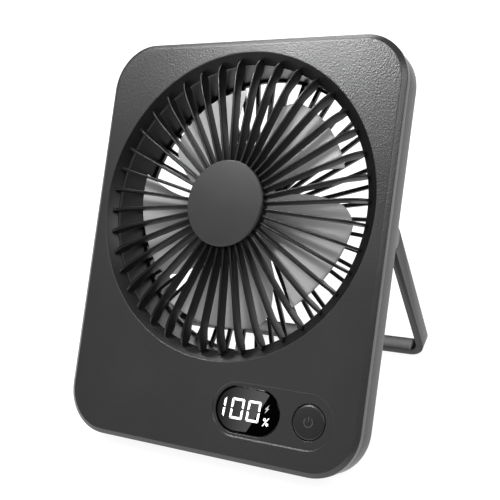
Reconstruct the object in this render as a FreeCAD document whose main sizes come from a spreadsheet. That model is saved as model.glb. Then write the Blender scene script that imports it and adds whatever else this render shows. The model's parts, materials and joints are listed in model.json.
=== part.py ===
import FreeCAD, Part
import Sketcher
import math
import os
from FreeCAD import Placement, Rotation, Vector

# A slim rechargeable desk fan that leans back on a folding strap bail.
#
# Every piece is drawn in the fan's own upright frame: X to the right, Y from the face into the
# body, Z up the face, with the origin in the middle of the face.  The last step leans the whole
# fan back until its bottom edge and the bail's foot share the ground.

SIZES = [
    # overall
    ("face_width", 146.0, "width of the front face"),
    ("face_height", 180.0, "height of the front face"),
    ("corner_radius", 20.5, "corner radius of the front face"),
    ("slab_depth", 15.0, "depth of the flat body, face to back"),
    ("fan_depth", 25.5, "depth from the face to the back of the round fan housing"),
    # casing
    ("rim_bevel", 2.06, "width of the bevel round the face"),
    ("rim_drop", 1.29, "depth of the bevel round the face"),
    ("front_depth", 4.0, "depth of the front shell's outer wall"),
    ("shell_inset", 0.8, "step from the front shell's side to the rear shell's side"),
    ("shell_wall", 1.8, "wall of both shells"),
    ("plate_thickness", 2.5, "thickness of the face plate"),
    ("back_edge", 1.5, "rounding of the rear shell's back edge"),
    ("assembly_gap", 0.1, "gap between fixed pieces that fit inside each other"),
    # fan opening
    ("fan_height", 17.1, "height of the fan's centre above the middle of the face"),
    ("opening_radius", 66.9, "radius of the round opening in the face"),
    ("duct_radius", 62.4, "inner radius of the air duct"),
    ("duct_wall", 1.3, "wall of the air duct"),
    ("seat_drop", 3.0, "depth of the grille ring's inner edge below the face"),
    ("ring_thickness", 1.6, "thickness of the grille ring"),
    # front grille
    ("rib_count", 40, "ribs of the front grille"),
    ("rib_width", 1.05, "thickness of a front rib"),
    ("rib_rise", 3.2, "height of the front ribs in front of the face"),
    ("rib_back", 1.8, "depth of the front ribs' back edge behind the face"),
    ("rib_shoulder", 13.5, "length over which a front rib curves back to the ring"),
    ("grille_hub_radius", 17.6, "radius of the grille's middle plate"),
    ("cap_radius", 18.7, "radius of the cap on the grille's middle"),
    ("cap_thickness", 2.0, "thickness of the cap"),
    ("cap_edge", 0.5, "bevel of the cap's edge"),
    # rear grille
    ("rear_rib_count", 48, "ribs of the rear grille"),
    ("rear_rib_width", 1.7, "thickness of a rear rib"),
    ("rear_rib_turn", 1.0, "angle of the first rear rib above level"),
    ("rear_thickness", 2.2, "thickness of the rear grille"),
    ("rear_ring_width", 2.4, "width of the rear grille's outer ring"),
    ("rear_hub_radius", 16.0, "radius of the rear grille's motor plate"),
    # impeller and motor
    ("blade_count", 5, "fan blades"),
    ("blade_tip_radius", 52.4, "radius of the blade tips"),
    ("blade_thickness", 1.3, "thickness of a blade"),
    ("blade_front", 6.0, "depth of a blade's front edge"),
    ("blade_back", 14.0, "depth of a blade's back edge"),
    ("hub_radius", 15.5, "outer radius of the impeller hub"),
    ("hub_front", 3.6, "depth of the impeller hub's front"),
    ("hub_back", 16.6, "depth of the impeller hub's open end"),
    ("hub_plate", 1.8, "thickness of the impeller hub's front plate"),
    ("bell_radius", 12.9, "outer radius of the rotor bell"),
    ("bell_wall", 0.9, "wall of the rotor bell"),
    ("magnet_thickness", 1.0, "radial thickness of the magnet ring"),
    ("air_gap", 0.4, "gap between magnet ring and stator"),
    ("stator_length", 6.0, "length of the stator core"),
    ("slot_count", 9, "slots of the stator"),
    ("slot_circle", 7.3, "distance of the stator's slots from the fan's axis"),
    ("slot_radius", 1.6, "radius of a stator slot"),
    ("slot_mouth", 0.8, "width of a stator slot's mouth"),
    ("winding_gap", 0.2, "gap between a winding and its slot"),
    ("winding_overhang", 1.0, "length of a winding beyond each end of the core"),
    ("shaft_radius", 1.5, "radius of the motor shaft"),
    ("running_gap", 0.04, "radial clearance of a running fit"),
    ("bearing_radius", 3.0, "outer radius of a shaft bearing"),
    ("bearing_width", 2.5, "width of a shaft bearing"),
    ("tube_wall", 0.7, "wall of the bearing tube"),
    ("motor_screw_circle", 9.5, "distance of the motor screws from the fan's axis"),
    # controls
    ("pod_width", 56.2, "width of the shallow control recess"),
    ("pod_height", 22.7, "height of the shallow control recess"),
    ("pod_centre", 33.2, "distance of the recess from the face's middle line"),
    ("pod_drop", 68.3, "distance of the controls below the face's middle"),
    ("pod_sink", 0.45, "depth of the control recess"),
    ("window_width", 30.6, "width of the display window"),
    ("window_height", 19.5, "height of the display window"),
    ("window_centre", 21.8, "distance of the window from the face's middle line"),
    ("window_thickness", 1.5, "thickness of the display window"),
    ("window_gap", 0.15, "gap round the display window"),
    ("button_radius", 7.15, "radius of the power button"),
    ("button_centre", 50.4, "distance of the button from the face's middle line"),
    ("button_gap", 0.35, "gap round the power button"),
    ("button_travel", 0.6, "travel of the power button"),
    ("button_proud", 0.35, "height of the power button above the control recess"),
    ("button_skirt", 0.9, "width and thickness of the skirt that keeps the button in"),
    ("stem_radius", 2.6, "radius of the stem behind the power button"),
    # electronics
    ("board_depth", 8.4, "depth of the board's front face"),
    ("board_thickness", 1.2, "thickness of the board"),
    ("board_width", 56.5, "width of the board"),
    ("board_height", 24.0, "height of the board"),
    ("switch_size", 6.0, "width of the switch body"),
    ("switch_thickness", 2.2, "thickness of the switch body"),
    ("socket_width", 9.0, "width of the charging socket"),
    ("socket_thickness", 3.2, "thickness of the charging socket"),
    ("socket_length", 7.4, "length of the charging socket"),
    ("socket_wall", 0.35, "wall of the charging socket"),
    ("socket_rise", 10.8, "height of the socket's lower side above the controls' middle line"),
    ("socket_depth", 7.6, "distance of the socket's front side from the body's back"),
    ("plunger_radius", 1.75, "radius of the switch plunger"),
    ("battery_width", 48.0, "width of the battery"),
    ("battery_height", 30.0, "height of the battery"),
    ("battery_thickness", 8.0, "thickness of the battery"),
    ("pad_thickness", 0.8, "thickness of the battery's foam pad"),
    ("lead_radius", 0.6, "radius of one lead"),
    ("ribbon_width", 2.2, "width of the motor's ribbon lead"),
    ("ribbon_thickness", 0.8, "thickness of the motor's ribbon lead"),
    # fasteners
    ("post_radius", 3.2, "radius of a screw post"),
    ("post_inset", 10.5, "distance of the screw posts from the sides"),
    ("screw_radius", 1.0, "radius of a screw's thread"),
    ("screw_head_radius", 2.1, "radius of a screw's head"),
    ("screw_head", 1.2, "height of a screw's head"),
    ("screw_length", 7.0, "length of a casing screw's thread"),
    # stand
    ("bail_outer", 69.5, "distance of the bail's outer side from the middle"),
    ("bail_thickness", 3.3, "thickness of the bail's strap"),
    ("bail_top_width", 8.1, "width of the strap at the hinge"),
    ("bail_foot_width", 7.1, "width of the strap at the foot"),
    ("bail_length", 72.9, "distance from the hinge to the bail's foot"),
    ("bail_corner", 8.0, "outer radius of the bail's corners"),
    ("bail_angle", 52.3, "angle from the body to the open bail"),
    ("bail_offset", 1.7, "distance of the strap's middle line behind the hinge"),
    ("knuckle_radius", 2.7, "radius of the bail's knuckle round the pin"),
    ("ear_radius", 5.5, "radius of the hinge ear"),
    ("ear_skin", 0.6, "ear left over the end of the hinge pin"),
    ("pivot_depth", 18.0, "depth of the hinge behind the face"),
    ("pivot_height", 10.4, "height of the hinge above the face's middle"),
    ("ear_thickness", 1.6, "thickness of the hinge ear"),
    ("hinge_gap", 0.3, "gap between the bail and the hinge ear"),
    ("pin_radius", 1.4, "radius of a hinge pin"),
    ("foot_sink", 0.9, "distance from the bail's end to its pad's middle line, less the pad's reach"),
    ("foot_reach", 2.8, "distance from a foot pad's middle line to the ground"),
    ("foot_width", 4.4, "width of a foot pad"),
    ("foot_thickness", 1.9, "thickness of a foot pad"),
    ("foot_length", 24.0, "length of a body foot pad"),
    ("bail_pad_length", 80.0, "length of the bail's foot pad"),
]

doc = FreeCAD.newDocument("DeskFan")
sheet = doc.addObject("Spreadsheet::Sheet", "Sizes")
for row, (alias, number, meaning) in enumerate(SIZES, start=1):
    sheet.set(f"A{row}", alias)
    sheet.set(f"B{row}", str(number))
    sheet.setAlias(f"B{row}", alias)
    sheet.set(f"C{row}", meaning)
doc.recompute()


def bound(expression):
    """Return the expression with every size name pointing at the sheet."""
    words = []
    word = ""
    for letter in expression + " ":
        if letter.isalnum() or letter == "_":
            word += letter
            continue
        words.append(f"Sizes.{word}" if word in ALIASES else word)
        words.append(letter)
        word = ""
    return "".join(words).strip()


ALIASES = {alias for alias, _, _ in SIZES}
probe = doc.addObject("Part::Box", "Probe")


def value(expression):
    """Return the number that an expression of sizes gives."""
    result = probe.evalExpression(bound(expression))
    return float(getattr(result, "Value", result))


# Sizes that follow from the driving ones.
DUCT_OUTER = "(duct_radius + duct_wall)"
DRUM_BORE = "(duct_radius + duct_wall + assembly_gap)"
DRUM_OUTER = "(duct_radius + duct_wall + assembly_gap + shell_wall)"
REAR_FACE = "(fan_depth - rear_thickness)"
TUBE_OUTER = "(bearing_radius + assembly_gap / 4 + tube_wall)"
TUBE_FRONT = "(hub_front + hub_plate + bell_wall + 2)"
MOTOR_PLATE = "(fan_depth - rear_thickness - 1.2)"
MAGNET_INNER = "(bell_radius - bell_wall - magnet_thickness - assembly_gap / 4)"
STATOR_RADIUS = "(bell_radius - bell_wall - magnet_thickness - assembly_gap / 4 - air_gap)"
STATOR_FRONT = "(hub_back - stator_length + 1.2)"
LEFT_BATTERY = "(-face_width / 2 + post_inset + post_radius + 1.3)"
BOTTOM_INSIDE = "(-face_height / 2 + shell_inset + shell_wall)"
BATTERY_FRONT = "(slab_depth - shell_wall - pad_thickness - battery_thickness)"
BOARD_BOTTOM = "(-pod_drop - board_height / 2)"
BOARD_LEFT = "(window_centre - window_width / 2 - 4.7)"
PLUNGER_FRONT = "(board_depth - 3.3)"
BAIL_INNER = "(bail_outer - bail_thickness)"
EAR_INNER = "(bail_outer - ear_thickness)"


def bind(item, **formulas):
    """Tie properties of an object to formulas of sizes."""
    for name, formula in formulas.items():
        item.setExpression(name.replace("__", "."), bound(formula))
    return item


def move_to(item, x, y, z):
    """Tie an object's position to three formulas."""
    item.setExpression("Placement.Base.x", bound(x))
    item.setExpression("Placement.Base.y", bound(y))
    item.setExpression("Placement.Base.z", bound(z))
    return item


TURN = {
    "X": Rotation(Vector(0, 1, 0), 90),
    "Y": Rotation(Vector(1, 0, 0), -90),
    "Z": Rotation(),
}


def box(name, x, y, z, length, width, height):
    """Make a block from its low corner and its three sizes."""
    item = doc.addObject("Part::Box", name)
    bind(item, Length=length, Width=width, Height=height)
    return move_to(item, x, y, z)


def rod(name, radius, height, x, y, z, along="Y"):
    """Make a cylinder that starts at a point and runs along one axis."""
    item = doc.addObject("Part::Cylinder", name)
    item.Placement = Placement(Vector(), TURN[along])
    bind(item, Radius=radius, Height=height)
    return move_to(item, x, y, z)


def disc(name, radius, front, back):
    """Make a cylinder about the fan's axis between two depths."""
    return rod(name, radius, f"{back} - ({front})", "0", front, "fan_height")


def tube(name, outer, inner, front, back):
    """Make a ring about the fan's axis between two depths."""
    return cut(name, disc(name + "_outer", outer, front, back),
               disc(name + "_inner", inner, f"{front} - 1", f"{back} + 1"))


def cut(name, base, *tools):
    """Cut tools from a base."""
    item = doc.addObject("Part::Cut", name)
    item.Base = base
    item.Tool = tools[0] if len(tools) == 1 else fuse(name + "_tools", *tools)
    return item


def fuse(name, *pieces):
    """Join pieces into one."""
    item = doc.addObject("Part::MultiFuse", name)
    item.Shapes = list(pieces)
    return item


def common(name, *pieces):
    """Keep what pieces share."""
    item = doc.addObject("Part::MultiCommon", name)
    item.Shapes = list(pieces)
    return item


def group(name, *pieces):
    """Keep identical separate pieces in one compound."""
    item = doc.addObject("Part::Compound", name)
    item.Links = list(pieces)
    return item


def stadium(name, centre, width, height, front, back):
    """Make a plate with round ends, level with the controls, between two depths."""
    width, height = f"({width})", f"({height})"
    depth = f"{back} - ({front})"
    reach = f"({width} - {height}) / 2"
    return fuse(
        name,
        box(name + "_middle", f"{centre} - {reach}", front, f"-pod_drop - {height} / 2",
            f"{width} - {height}", depth, height),
        rod(name + "_left", f"{height} / 2", depth, f"{centre} - {reach}", front, "-pod_drop"),
        rod(name + "_right", f"{height} / 2", depth, f"{centre} + {reach}", front, "-pod_drop"),
    )


def new_body(name):
    """Start a PartDesign body."""
    return doc.addObject("PartDesign::Body", name)


def new_sketch(body, name, role, offset="0"):
    """Start a sketch on one of the body's own planes, moved along the plane's normal."""
    plane = [item for item in body.Origin.OriginFeatures if item.Role == role][0]
    sketch = body.newObject("Sketcher::SketchObject", name)
    sketch.AttachmentSupport = [(plane, "")]
    sketch.MapMode = "FlatFace"
    sketch.setExpression("AttachmentOffset.Base.z", bound(offset))
    return sketch


def rounded_outline(sketch, half_width, half_height, corner):
    """Draw a rounded rectangle about the sketch's origin, held by its three sizes."""
    across, up, round_off = value(half_width), value(half_height), value(corner)
    corners = [(1, 1), (-1, 1), (-1, -1), (1, -1)]
    lines = []
    arcs = []
    for index, (side, level) in enumerate(corners):
        middle = Vector(side * (across - round_off), level * (up - round_off), 0)
        start = index * math.pi / 2
        circle = Part.Circle(middle, Vector(0, 0, 1), round_off)
        arcs.append(sketch.addGeometry(Part.ArcOfCircle(circle, start, start + math.pi / 2)))
        after = corners[(index + 1) % 4]
        inner = Vector(after[0] * (across - round_off), after[1] * (up - round_off), 0)
        out = Vector(math.cos(start + math.pi / 2), math.sin(start + math.pi / 2), 0) * round_off
        lines.append(sketch.addGeometry(Part.LineSegment(middle + out, inner + out)))
    for index in range(4):
        sketch.addConstraint(Sketcher.Constraint("Tangent", arcs[index], 2, lines[index], 1))
        sketch.addConstraint(Sketcher.Constraint("Tangent", lines[index], 2, arcs[(index + 1) % 4], 1))
        direction = "Horizontal" if index % 2 == 0 else "Vertical"
        sketch.addConstraint(Sketcher.Constraint(direction, lines[index]))
    for index in range(1, 4):
        sketch.addConstraint(Sketcher.Constraint("Equal", arcs[0], arcs[index]))
    held = [
        ("Radius", (arcs[0], round_off), corner),
        ("DistanceX", (-1, 1, lines[3], 1, across), half_width),
        ("DistanceX", (lines[1], 1, -1, 1, across), half_width),
        ("DistanceY", (-1, 1, lines[0], 1, up), half_height),
        ("DistanceY", (lines[2], 1, -1, 1, up), half_height),
    ]
    for kind, arguments, formula in held:
        index = sketch.addConstraint(Sketcher.Constraint(kind, *arguments))
        sketch.setExpression(f"Constraints[{index}]", bound(formula))
    return sketch


def closed_outline(sketch, points):
    """Draw a closed outline of straight lines whose corners are pairs of formulas."""
    numbers = [Vector(value(x), value(y), 0) for x, y in points]
    count = len(points)
    lines = [sketch.addGeometry(Part.LineSegment(numbers[i], numbers[(i + 1) % count]))
             for i in range(count)]
    for index in range(count):
        after = lines[(index + 1) % count]
        sketch.addConstraint(Sketcher.Constraint("Coincident", lines[index], 2, after, 1))
        for kind, formula in zip(("DistanceX", "DistanceY"), points[index]):
            held = sketch.addConstraint(
                Sketcher.Constraint(kind, -1, 1, lines[index], 1, value(formula)))
            sketch.setExpression(f"Constraints[{held}]", bound(formula))
    return sketch


def pad(body, name, sketch, length, backwards=False):
    """Raise a sketch; backwards runs against its plane's normal."""
    feature = body.newObject("PartDesign::Pad", name)
    feature.Profile = sketch
    feature.Reversed = backwards
    bind(feature, Length=length)
    return feature


def rounded_block(name, half_width, half_height, corner, front, back):
    """Make a body with a rounded outline between two depths."""
    body = new_body(name)
    outline = new_sketch(body, name + "_outline", "XZ_Plane", f"-({front})")
    rounded_outline(outline, half_width, half_height, corner)
    pad(body, name + "_pad", outline, f"{back} - ({front})", backwards=True)
    return body


def polygon_bar(name, points, role, start, length):
    """Make a body from a straight-sided outline raised from one of its planes."""
    body = new_body(name)
    outline = new_sketch(body, name + "_outline", role, start)
    closed_outline(outline, points)
    pad(body, name + "_pad", outline, length)
    return body


def around_axis(item, count, name, first="0"):
    """Repeat a piece round the fan's axis, the first copy turned up by an angle."""
    copies = []
    for index in range(count):
        copy = doc.addObject("Part::Compound", f"{name}_{index + 1}")
        copy.Links = [item]
        turn = Rotation(Vector(0, 1, 0), -value(first) - 360.0 * index / count)
        centre = Vector(0, 0, value("fan_height"))
        copy.Placement = Placement(Vector(), turn, centre)
        copies.append(copy)
    return copies


PARTS = {}


def keep(node, item):
    """Register a finished sub-part under its node name, free to be placed in the assembly."""
    if item.TypeId in ("Part::Box", "Part::Cylinder"):
        item = group(item.Name + "_piece", item)
    item.Label = node
    PARTS[node] = item
    return item


# ---------------------------------------------------------------------------------------------
# Casing
# ---------------------------------------------------------------------------------------------

POST_PLACES = [
    ("face_width / 2 - post_inset", "face_height / 2 - post_inset"),
    ("-face_width / 2 + post_inset", "face_height / 2 - post_inset"),
    ("face_width / 2 - post_inset", "-face_height / 2 + post_inset"),
    ("-face_width / 2 + post_inset", "-face_height / 2 + post_inset"),
    ("-5", "-face_height / 2 + post_inset - 3"),
]


def make_front_shell():
    """Front shell: bevelled face plate with a short side wall, fan opening and control openings."""
    body = new_body("FrontShell")
    rim = new_sketch(body, "RimOutline", "XZ_Plane", "-rim_drop")
    rounded_outline(rim, "face_width / 2", "face_height / 2", "corner_radius")
    pad(body, "RimPad", rim, "front_depth - rim_drop", backwards=True)
    face = new_sketch(body, "FaceOutline", "XZ_Plane", "-rim_drop")
    rounded_outline(face, "face_width / 2", "face_height / 2", "corner_radius")
    bevel = pad(body, "BevelPad", face, "rim_drop")
    bind(bevel, TaperAngle="-atan(rim_bevel / rim_drop)")
    cavity = rounded_block("FrontCavity", "face_width / 2 - shell_wall", "face_height / 2 - shell_wall",
                           "corner_radius - shell_wall", "plate_thickness", "front_depth + 1")
    opening = disc("FanOpening", "opening_radius + assembly_gap / 2", "-1", "front_depth + 1")
    recess = stadium("ControlRecess", "pod_centre", "pod_width", "pod_height", "-1", "pod_sink")
    window = stadium("WindowOpening", "window_centre", "window_width + 2 * window_gap",
                     "window_height + 2 * window_gap", "-1", "front_depth + 1")
    button = rod("ButtonOpening", "button_radius + button_gap", "front_depth + 2",
                 "button_centre", "-1", "-pod_drop")
    plate = cut("FrontPlate", body, cavity, opening, recess, window, button)
    post_length = "slab_depth - shell_wall - assembly_gap - plate_thickness / 2"
    posts = [rod(f"Post{i + 1}", "post_radius", post_length, x, "plate_thickness / 2", z)
             for i, (x, z) in enumerate(POST_PLACES)]
    posts += [rod(f"BoardPost{i + 1}", "screw_radius + 1.2", "board_depth - plate_thickness / 2",
                  x, "plate_thickness / 2", z) for i, (x, z) in enumerate(BOARD_SCREW_PLACES)]
    pilots = [rod(f"Pilot{i + 1}", "screw_radius", "screw_length + 1",
                  x, "slab_depth - shell_wall - screw_length - 0.5", z)
              for i, (x, z) in enumerate(POST_PLACES)]
    pilots += [rod(f"BoardPilot{i + 1}", "screw_radius", "6", x, "plate_thickness + 1.3", z)
               for i, (x, z) in enumerate(BOARD_SCREW_PLACES)]
    return keep("front_shell", cut("FrontShellDrilled", fuse("FrontWithPosts", plate, *posts), *pilots))


def make_rear_shell():
    """Rear shell: shallow tray that carries the round fan housing and the hinge ears."""
    tray = rounded_block("RearTray", "face_width / 2 - shell_inset", "face_height / 2 - shell_inset",
                         "corner_radius - shell_inset", "front_depth", "slab_depth - back_edge")
    back = new_body("RearBack")
    outline = new_sketch(back, "BackOutline", "XZ_Plane", "-(slab_depth - back_edge)")
    rounded_outline(outline, "face_width / 2 - shell_inset", "face_height / 2 - shell_inset",
                    "corner_radius - shell_inset")
    edge = pad(back, "BackPad", outline, "back_edge", backwards=True)
    doc.recompute()
    rear_edges = []
    for index, shape_edge in enumerate(back.Shape.Edges, start=1):
        if shape_edge.BoundBox.YMin > value("slab_depth") - 0.01:
            rear_edges.append(f"Edge{index}")
    rounding = back.newObject("PartDesign::Fillet", "BackRounding")
    rounding.Base = (edge, rear_edges)
    bind(rounding, Radius="back_edge * 0.95")
    cavity = rounded_block("RearCavity", "face_width / 2 - shell_inset - shell_wall",
                           "face_height / 2 - shell_inset - shell_wall",
                           "corner_radius - shell_inset - shell_wall", "front_depth - 1",
                           "slab_depth - shell_wall")
    hollow = cut("RearHollow", fuse("RearSolid", tray, back), cavity)
    drum = disc("Drum", DRUM_OUTER, "slab_depth - shell_wall", "fan_depth")
    ears = []
    for side in (1, -1):
        start = EAR_INNER if side > 0 else "-bail_outer"
        ears.append(rod(f"EarRound{side + 2}", "ear_radius", "ear_thickness",
                        start, "pivot_depth", "pivot_height", along="X"))
        boss = "duct_radius + duct_wall" if side > 0 else f"-({BAIL_INNER}) + hinge_gap"
        ears.append(rod(f"PivotBoss{side + 2}", "bail_top_width / 2 - 0.3",
                        f"{BAIL_INNER} - hinge_gap - duct_radius - duct_wall",
                        boss, "pivot_depth", "pivot_height", along="X"))
    channel_wall = box("ChannelWall", "-ribbon_width / 2 - 2.2", "slab_depth - shell_wall / 2",
                       f"fan_height - {DRUM_OUTER} - 2.4", "ribbon_width + 4.4",
                       "fan_depth - slab_depth + shell_wall / 2", "4")
    channel = box("Channel", "-ribbon_width / 2 - 0.6", "front_depth", f"fan_height - {DRUM_OUTER} - 0.8",
                  "ribbon_width + 1.2", f"{REAR_FACE} - front_depth", "4")
    bore = disc("DrumBore", DRUM_BORE, "front_depth - 1", "fan_depth + 1")
    pins = rod("PivotHoles", "pin_radius", "2 * (bail_outer - ear_skin)", "-(bail_outer - ear_skin)",
               "pivot_depth", "pivot_height", along="X")
    holes = [rod(f"ScrewHole{i + 1}", "screw_radius + 0.2", "shell_wall + 2", x,
                 "slab_depth - shell_wall - 1", z) for i, (x, z) in enumerate(POST_PLACES)]
    sinks = [rod(f"ScrewSink{i + 1}", "screw_head_radius + 0.2", "screw_head + 1", x,
                 "slab_depth - screw_head", z) for i, (x, z) in enumerate(POST_PLACES)]
    socket = box("SocketOpening", "-face_width / 2", "slab_depth - socket_depth - 0.2",
                 "-pod_drop + socket_rise - 0.2", "shell_inset + shell_wall + 1",
                 "socket_thickness + 0.4", "socket_width + 0.4")
    feet = [foot_block(f"FootSeat{side + 2}", side) for side in (1, -1)]
    solid = fuse("RearJoined", hollow, drum, channel_wall, *ears)
    return keep("rear_shell", cut("RearShellDone", solid, bore, channel, pins, *holes, *sinks, socket, *feet))


# ---------------------------------------------------------------------------------------------
# Ground line: both foot pads lie on one line that gives the lean of the body
# ---------------------------------------------------------------------------------------------

def ground_line():
    """Return the two foot centres (depth, height) and the lean of the body in degrees."""
    body_foot = (value("slab_depth - back_edge"), value("-face_height / 2 + shell_inset + back_edge"))
    open_angle = math.radians(value("bail_angle"))
    reach = value("bail_length - foot_reach + foot_sink")
    across, along = value("bail_offset"), -reach
    bail_foot = (value("pivot_depth") + across * math.cos(open_angle) - along * math.sin(open_angle),
                 value("pivot_height") + across * math.sin(open_angle) + along * math.cos(open_angle))
    lean = math.atan2(bail_foot[1] - body_foot[1], bail_foot[0] - body_foot[0])
    return body_foot, bail_foot, math.degrees(lean)


BODY_FOOT, BAIL_FOOT, LEAN = ground_line()


def pad_block(name, length, middle, tilt):
    """Make a foot pad whose lower face is level with the ground, about a centre line."""
    item = doc.addObject("Part::Box", name)
    bind(item, Length=length, Width="foot_width", Height="foot_thickness")
    turn = Rotation(Vector(1, 0, 0), tilt)
    low_corner = Vector(-value(length) / 2, -value("foot_width") / 2, -value("foot_reach"))
    item.Placement = Placement(Vector(0, *middle) + turn.multVec(low_corner), turn)
    return item


def foot_block(name, side):
    """Make one of the two pads under the body's back edge."""
    item = pad_block(name, "foot_length", BODY_FOOT, LEAN)
    item.Placement.Base.x += side * (value("face_width / 2 - corner_radius") - value("foot_length") / 2)
    return item


def make_body_feet():
    """Two rubber pads let into the back bottom edge of the body."""
    return keep("body_feet", group("BodyFeet", foot_block("FootPad1", 1), foot_block("FootPad2", -1)))


# ---------------------------------------------------------------------------------------------
# Air path
# ---------------------------------------------------------------------------------------------

def make_front_grille():
    """Front grille: sunk conical ring, arched ribs and the plate in their middle."""
    ring = new_body("GrilleRing")
    profile = new_sketch(ring, "RingProfile", "YZ_Plane")
    # In this sketch X is depth and Y is the distance from the fan's axis.
    closed_outline(profile, [
        ("0", "fan_height + opening_radius"),
        ("seat_drop + ring_thickness", "fan_height + opening_radius"),
        ("seat_drop + ring_thickness", "fan_height + duct_radius"),
        ("seat_drop", "fan_height + duct_radius"),
    ])
    spin = ring.newObject("PartDesign::Revolution", "RingTurn")
    spin.Profile = profile
    axis = new_sketch(ring, "RingAxis", "YZ_Plane")
    line = axis.addGeometry(Part.LineSegment(Vector(0, value("fan_height"), 0),
                                             Vector(10, value("fan_height"), 0)))
    axis.addConstraint(Sketcher.Constraint("Horizontal", line))
    axis.addConstraint(Sketcher.Constraint("DistanceX", -1, 1, line, 1, 0))
    axis.addConstraint(Sketcher.Constraint("DistanceX", line, 1, line, 2, 10))
    held = axis.addConstraint(Sketcher.Constraint("DistanceY", -1, 1, line, 1, value("fan_height")))
    axis.setExpression(f"Constraints[{held}]", bound("fan_height"))
    spin.ReferenceAxis = (axis, ["Edge1"])
    spin.Angle = 360
    hub = disc("GrilleHub", "grille_hub_radius", "-rib_rise", "rib_back")
    ribs = doc.addObject("Part::Feature", "GrilleRibs")
    ribs.Shape = front_ribs()
    return keep("front_grille", fuse("FrontGrille", ring, hub, ribs))


def front_ribs():
    """Return the arched ribs: flat in front, each curving back to the ring at its outer end."""
    front, back = -value("rib_rise"), value("rib_back")
    inner = value("grille_hub_radius") - 1.0
    seat_radius = value("duct_radius + (opening_radius - duct_radius) * 0.48")
    seat_depth = value("seat_drop") * 0.52
    start = seat_radius - value("rib_shoulder")
    end_depth = seat_depth + 0.9
    under = value("seat_drop") + 1.0
    tuck = value("duct_radius") - 1.5

    def at(radius, depth):
        return Vector(radius, depth, 0)

    shoulder = Part.BezierCurve()
    shoulder.setPoles([at(start, front), at(seat_radius - 4.5, front + 0.15),
                       at(seat_radius - 0.6, seat_depth - 2.4), at(seat_radius, seat_depth)])
    heel = Part.BezierCurve()
    heel.setPoles([at(tuck, under), at(tuck - 2.0, value("seat_drop")),
                   at(tuck - 4.5, back), at(tuck - 8.0, back)])
    outline = Part.Wire([
        Part.LineSegment(at(inner, front), at(start, front)).toShape(),
        shoulder.toShape(),
        Part.LineSegment(at(seat_radius, seat_depth), at(seat_radius, end_depth)).toShape(),
        Part.LineSegment(at(seat_radius, end_depth), at(seat_radius, under)).toShape(),
        Part.LineSegment(at(seat_radius, under), at(tuck, under)).toShape(),
        heel.toShape(),
        Part.LineSegment(at(tuck - 8.0, back), at(inner, back)).toShape(),
        Part.LineSegment(at(inner, back), at(inner, front)).toShape(),
    ])
    rib = Part.Face(outline).extrude(Vector(0, 0, value("rib_width")))
    rib.translate(Vector(0, 0, -value("rib_width") / 2))
    count = int(value("rib_count"))
    ribs = []
    for index in range(count):
        copy = rib.copy()
        copy.rotate(Vector(), Vector(0, 1, 0), 360.0 * (index + 0.5) / count)
        copy.translate(Vector(0, 0, value("fan_height")))
        ribs.append(copy)
    return Part.makeCompound(ribs)


def make_grille_cap():
    """Plain cap on the middle of the front grille, with a bevelled edge."""
    rear = "-rib_rise"
    front = "(-rib_rise - cap_thickness)"
    body = disc("CapBody", "cap_radius", f"{front} + cap_edge", rear)
    edge = doc.addObject("Part::Cone", "CapEdge")
    edge.Placement = Placement(Vector(), TURN["Y"])
    bind(edge, Radius1="cap_radius - cap_edge", Radius2="cap_radius", Height="cap_edge")
    move_to(edge, "0", front, "fan_height")
    return keep("grille_cap", fuse("GrilleCap", body, edge))


def make_air_duct():
    """Smooth round duct between the two grilles."""
    wall = tube("DuctWall", DUCT_OUTER, "duct_radius", "seat_drop + ring_thickness + assembly_gap",
                f"{REAR_FACE} - assembly_gap")
    notch = box("DuctNotch", "-ribbon_width / 2 - 0.4", f"{REAR_FACE} - ribbon_thickness - 0.6",
                f"fan_height - {DUCT_OUTER} - 1", "ribbon_width + 0.8", "3", "4")
    return keep("air_duct", cut("AirDuct", wall, notch))


def make_rear_grille():
    """Rear grille: ring, straight ribs and the plate that carries the motor."""
    ring = tube("RearRing", DUCT_OUTER, "duct_radius + duct_wall - rear_ring_width", REAR_FACE, "fan_depth")
    plate = disc("MotorPlate", "rear_hub_radius", REAR_FACE, "fan_depth")
    rib = box("RearRib", "rear_hub_radius - 1", REAR_FACE, "fan_height - rear_rib_width / 2",
              "duct_radius - rear_hub_radius + 1", "rear_thickness", "rear_rib_width")
    ribs = around_axis(rib, int(value("rear_rib_count")), "RearRibCopy", "rear_rib_turn")
    holes = [fan_axis_rod(f"MotorScrewHole{i + 1}", "screw_radius", REAR_FACE, "fan_depth",
                          "motor_screw_circle", 120 * i)
             for i in range(3)]
    solid = fuse("RearGrilleSolid", ring, plate, *ribs)
    return keep("rear_grille", cut("RearGrille", solid, *holes))


def fan_axis_rod(name, radius, front, back, distance, angle):
    """Make a cylinder parallel to the fan's axis, at a distance and an angle from it."""
    return rod(name, radius, f"{back} - ({front}) + 0.02", f"{distance} * cos({angle})",
               f"{front} - 0.01", f"fan_height + {distance} * sin({angle})")


# ---------------------------------------------------------------------------------------------
# Motor and impeller
# ---------------------------------------------------------------------------------------------

def make_motor_base():
    """Motor base: plate screwed to the rear grille with the bearing tube in its middle."""
    plate = disc("BasePlate", "rear_hub_radius - 4", MOTOR_PLATE, REAR_FACE)
    tower = disc("BearingTube", TUBE_OUTER, TUBE_FRONT, REAR_FACE)
    bore = disc("BearingBore", "bearing_radius + assembly_gap / 4", "0", "fan_depth")
    holes = [fan_axis_rod(f"BaseHole{i + 1}", "screw_radius + 0.1", MOTOR_PLATE, REAR_FACE,
                          "motor_screw_circle", 120 * i)
             for i in range(3)]
    return keep("motor_base", cut("MotorBase", fuse("BaseSolid", plate, tower), bore, *holes))


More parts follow.
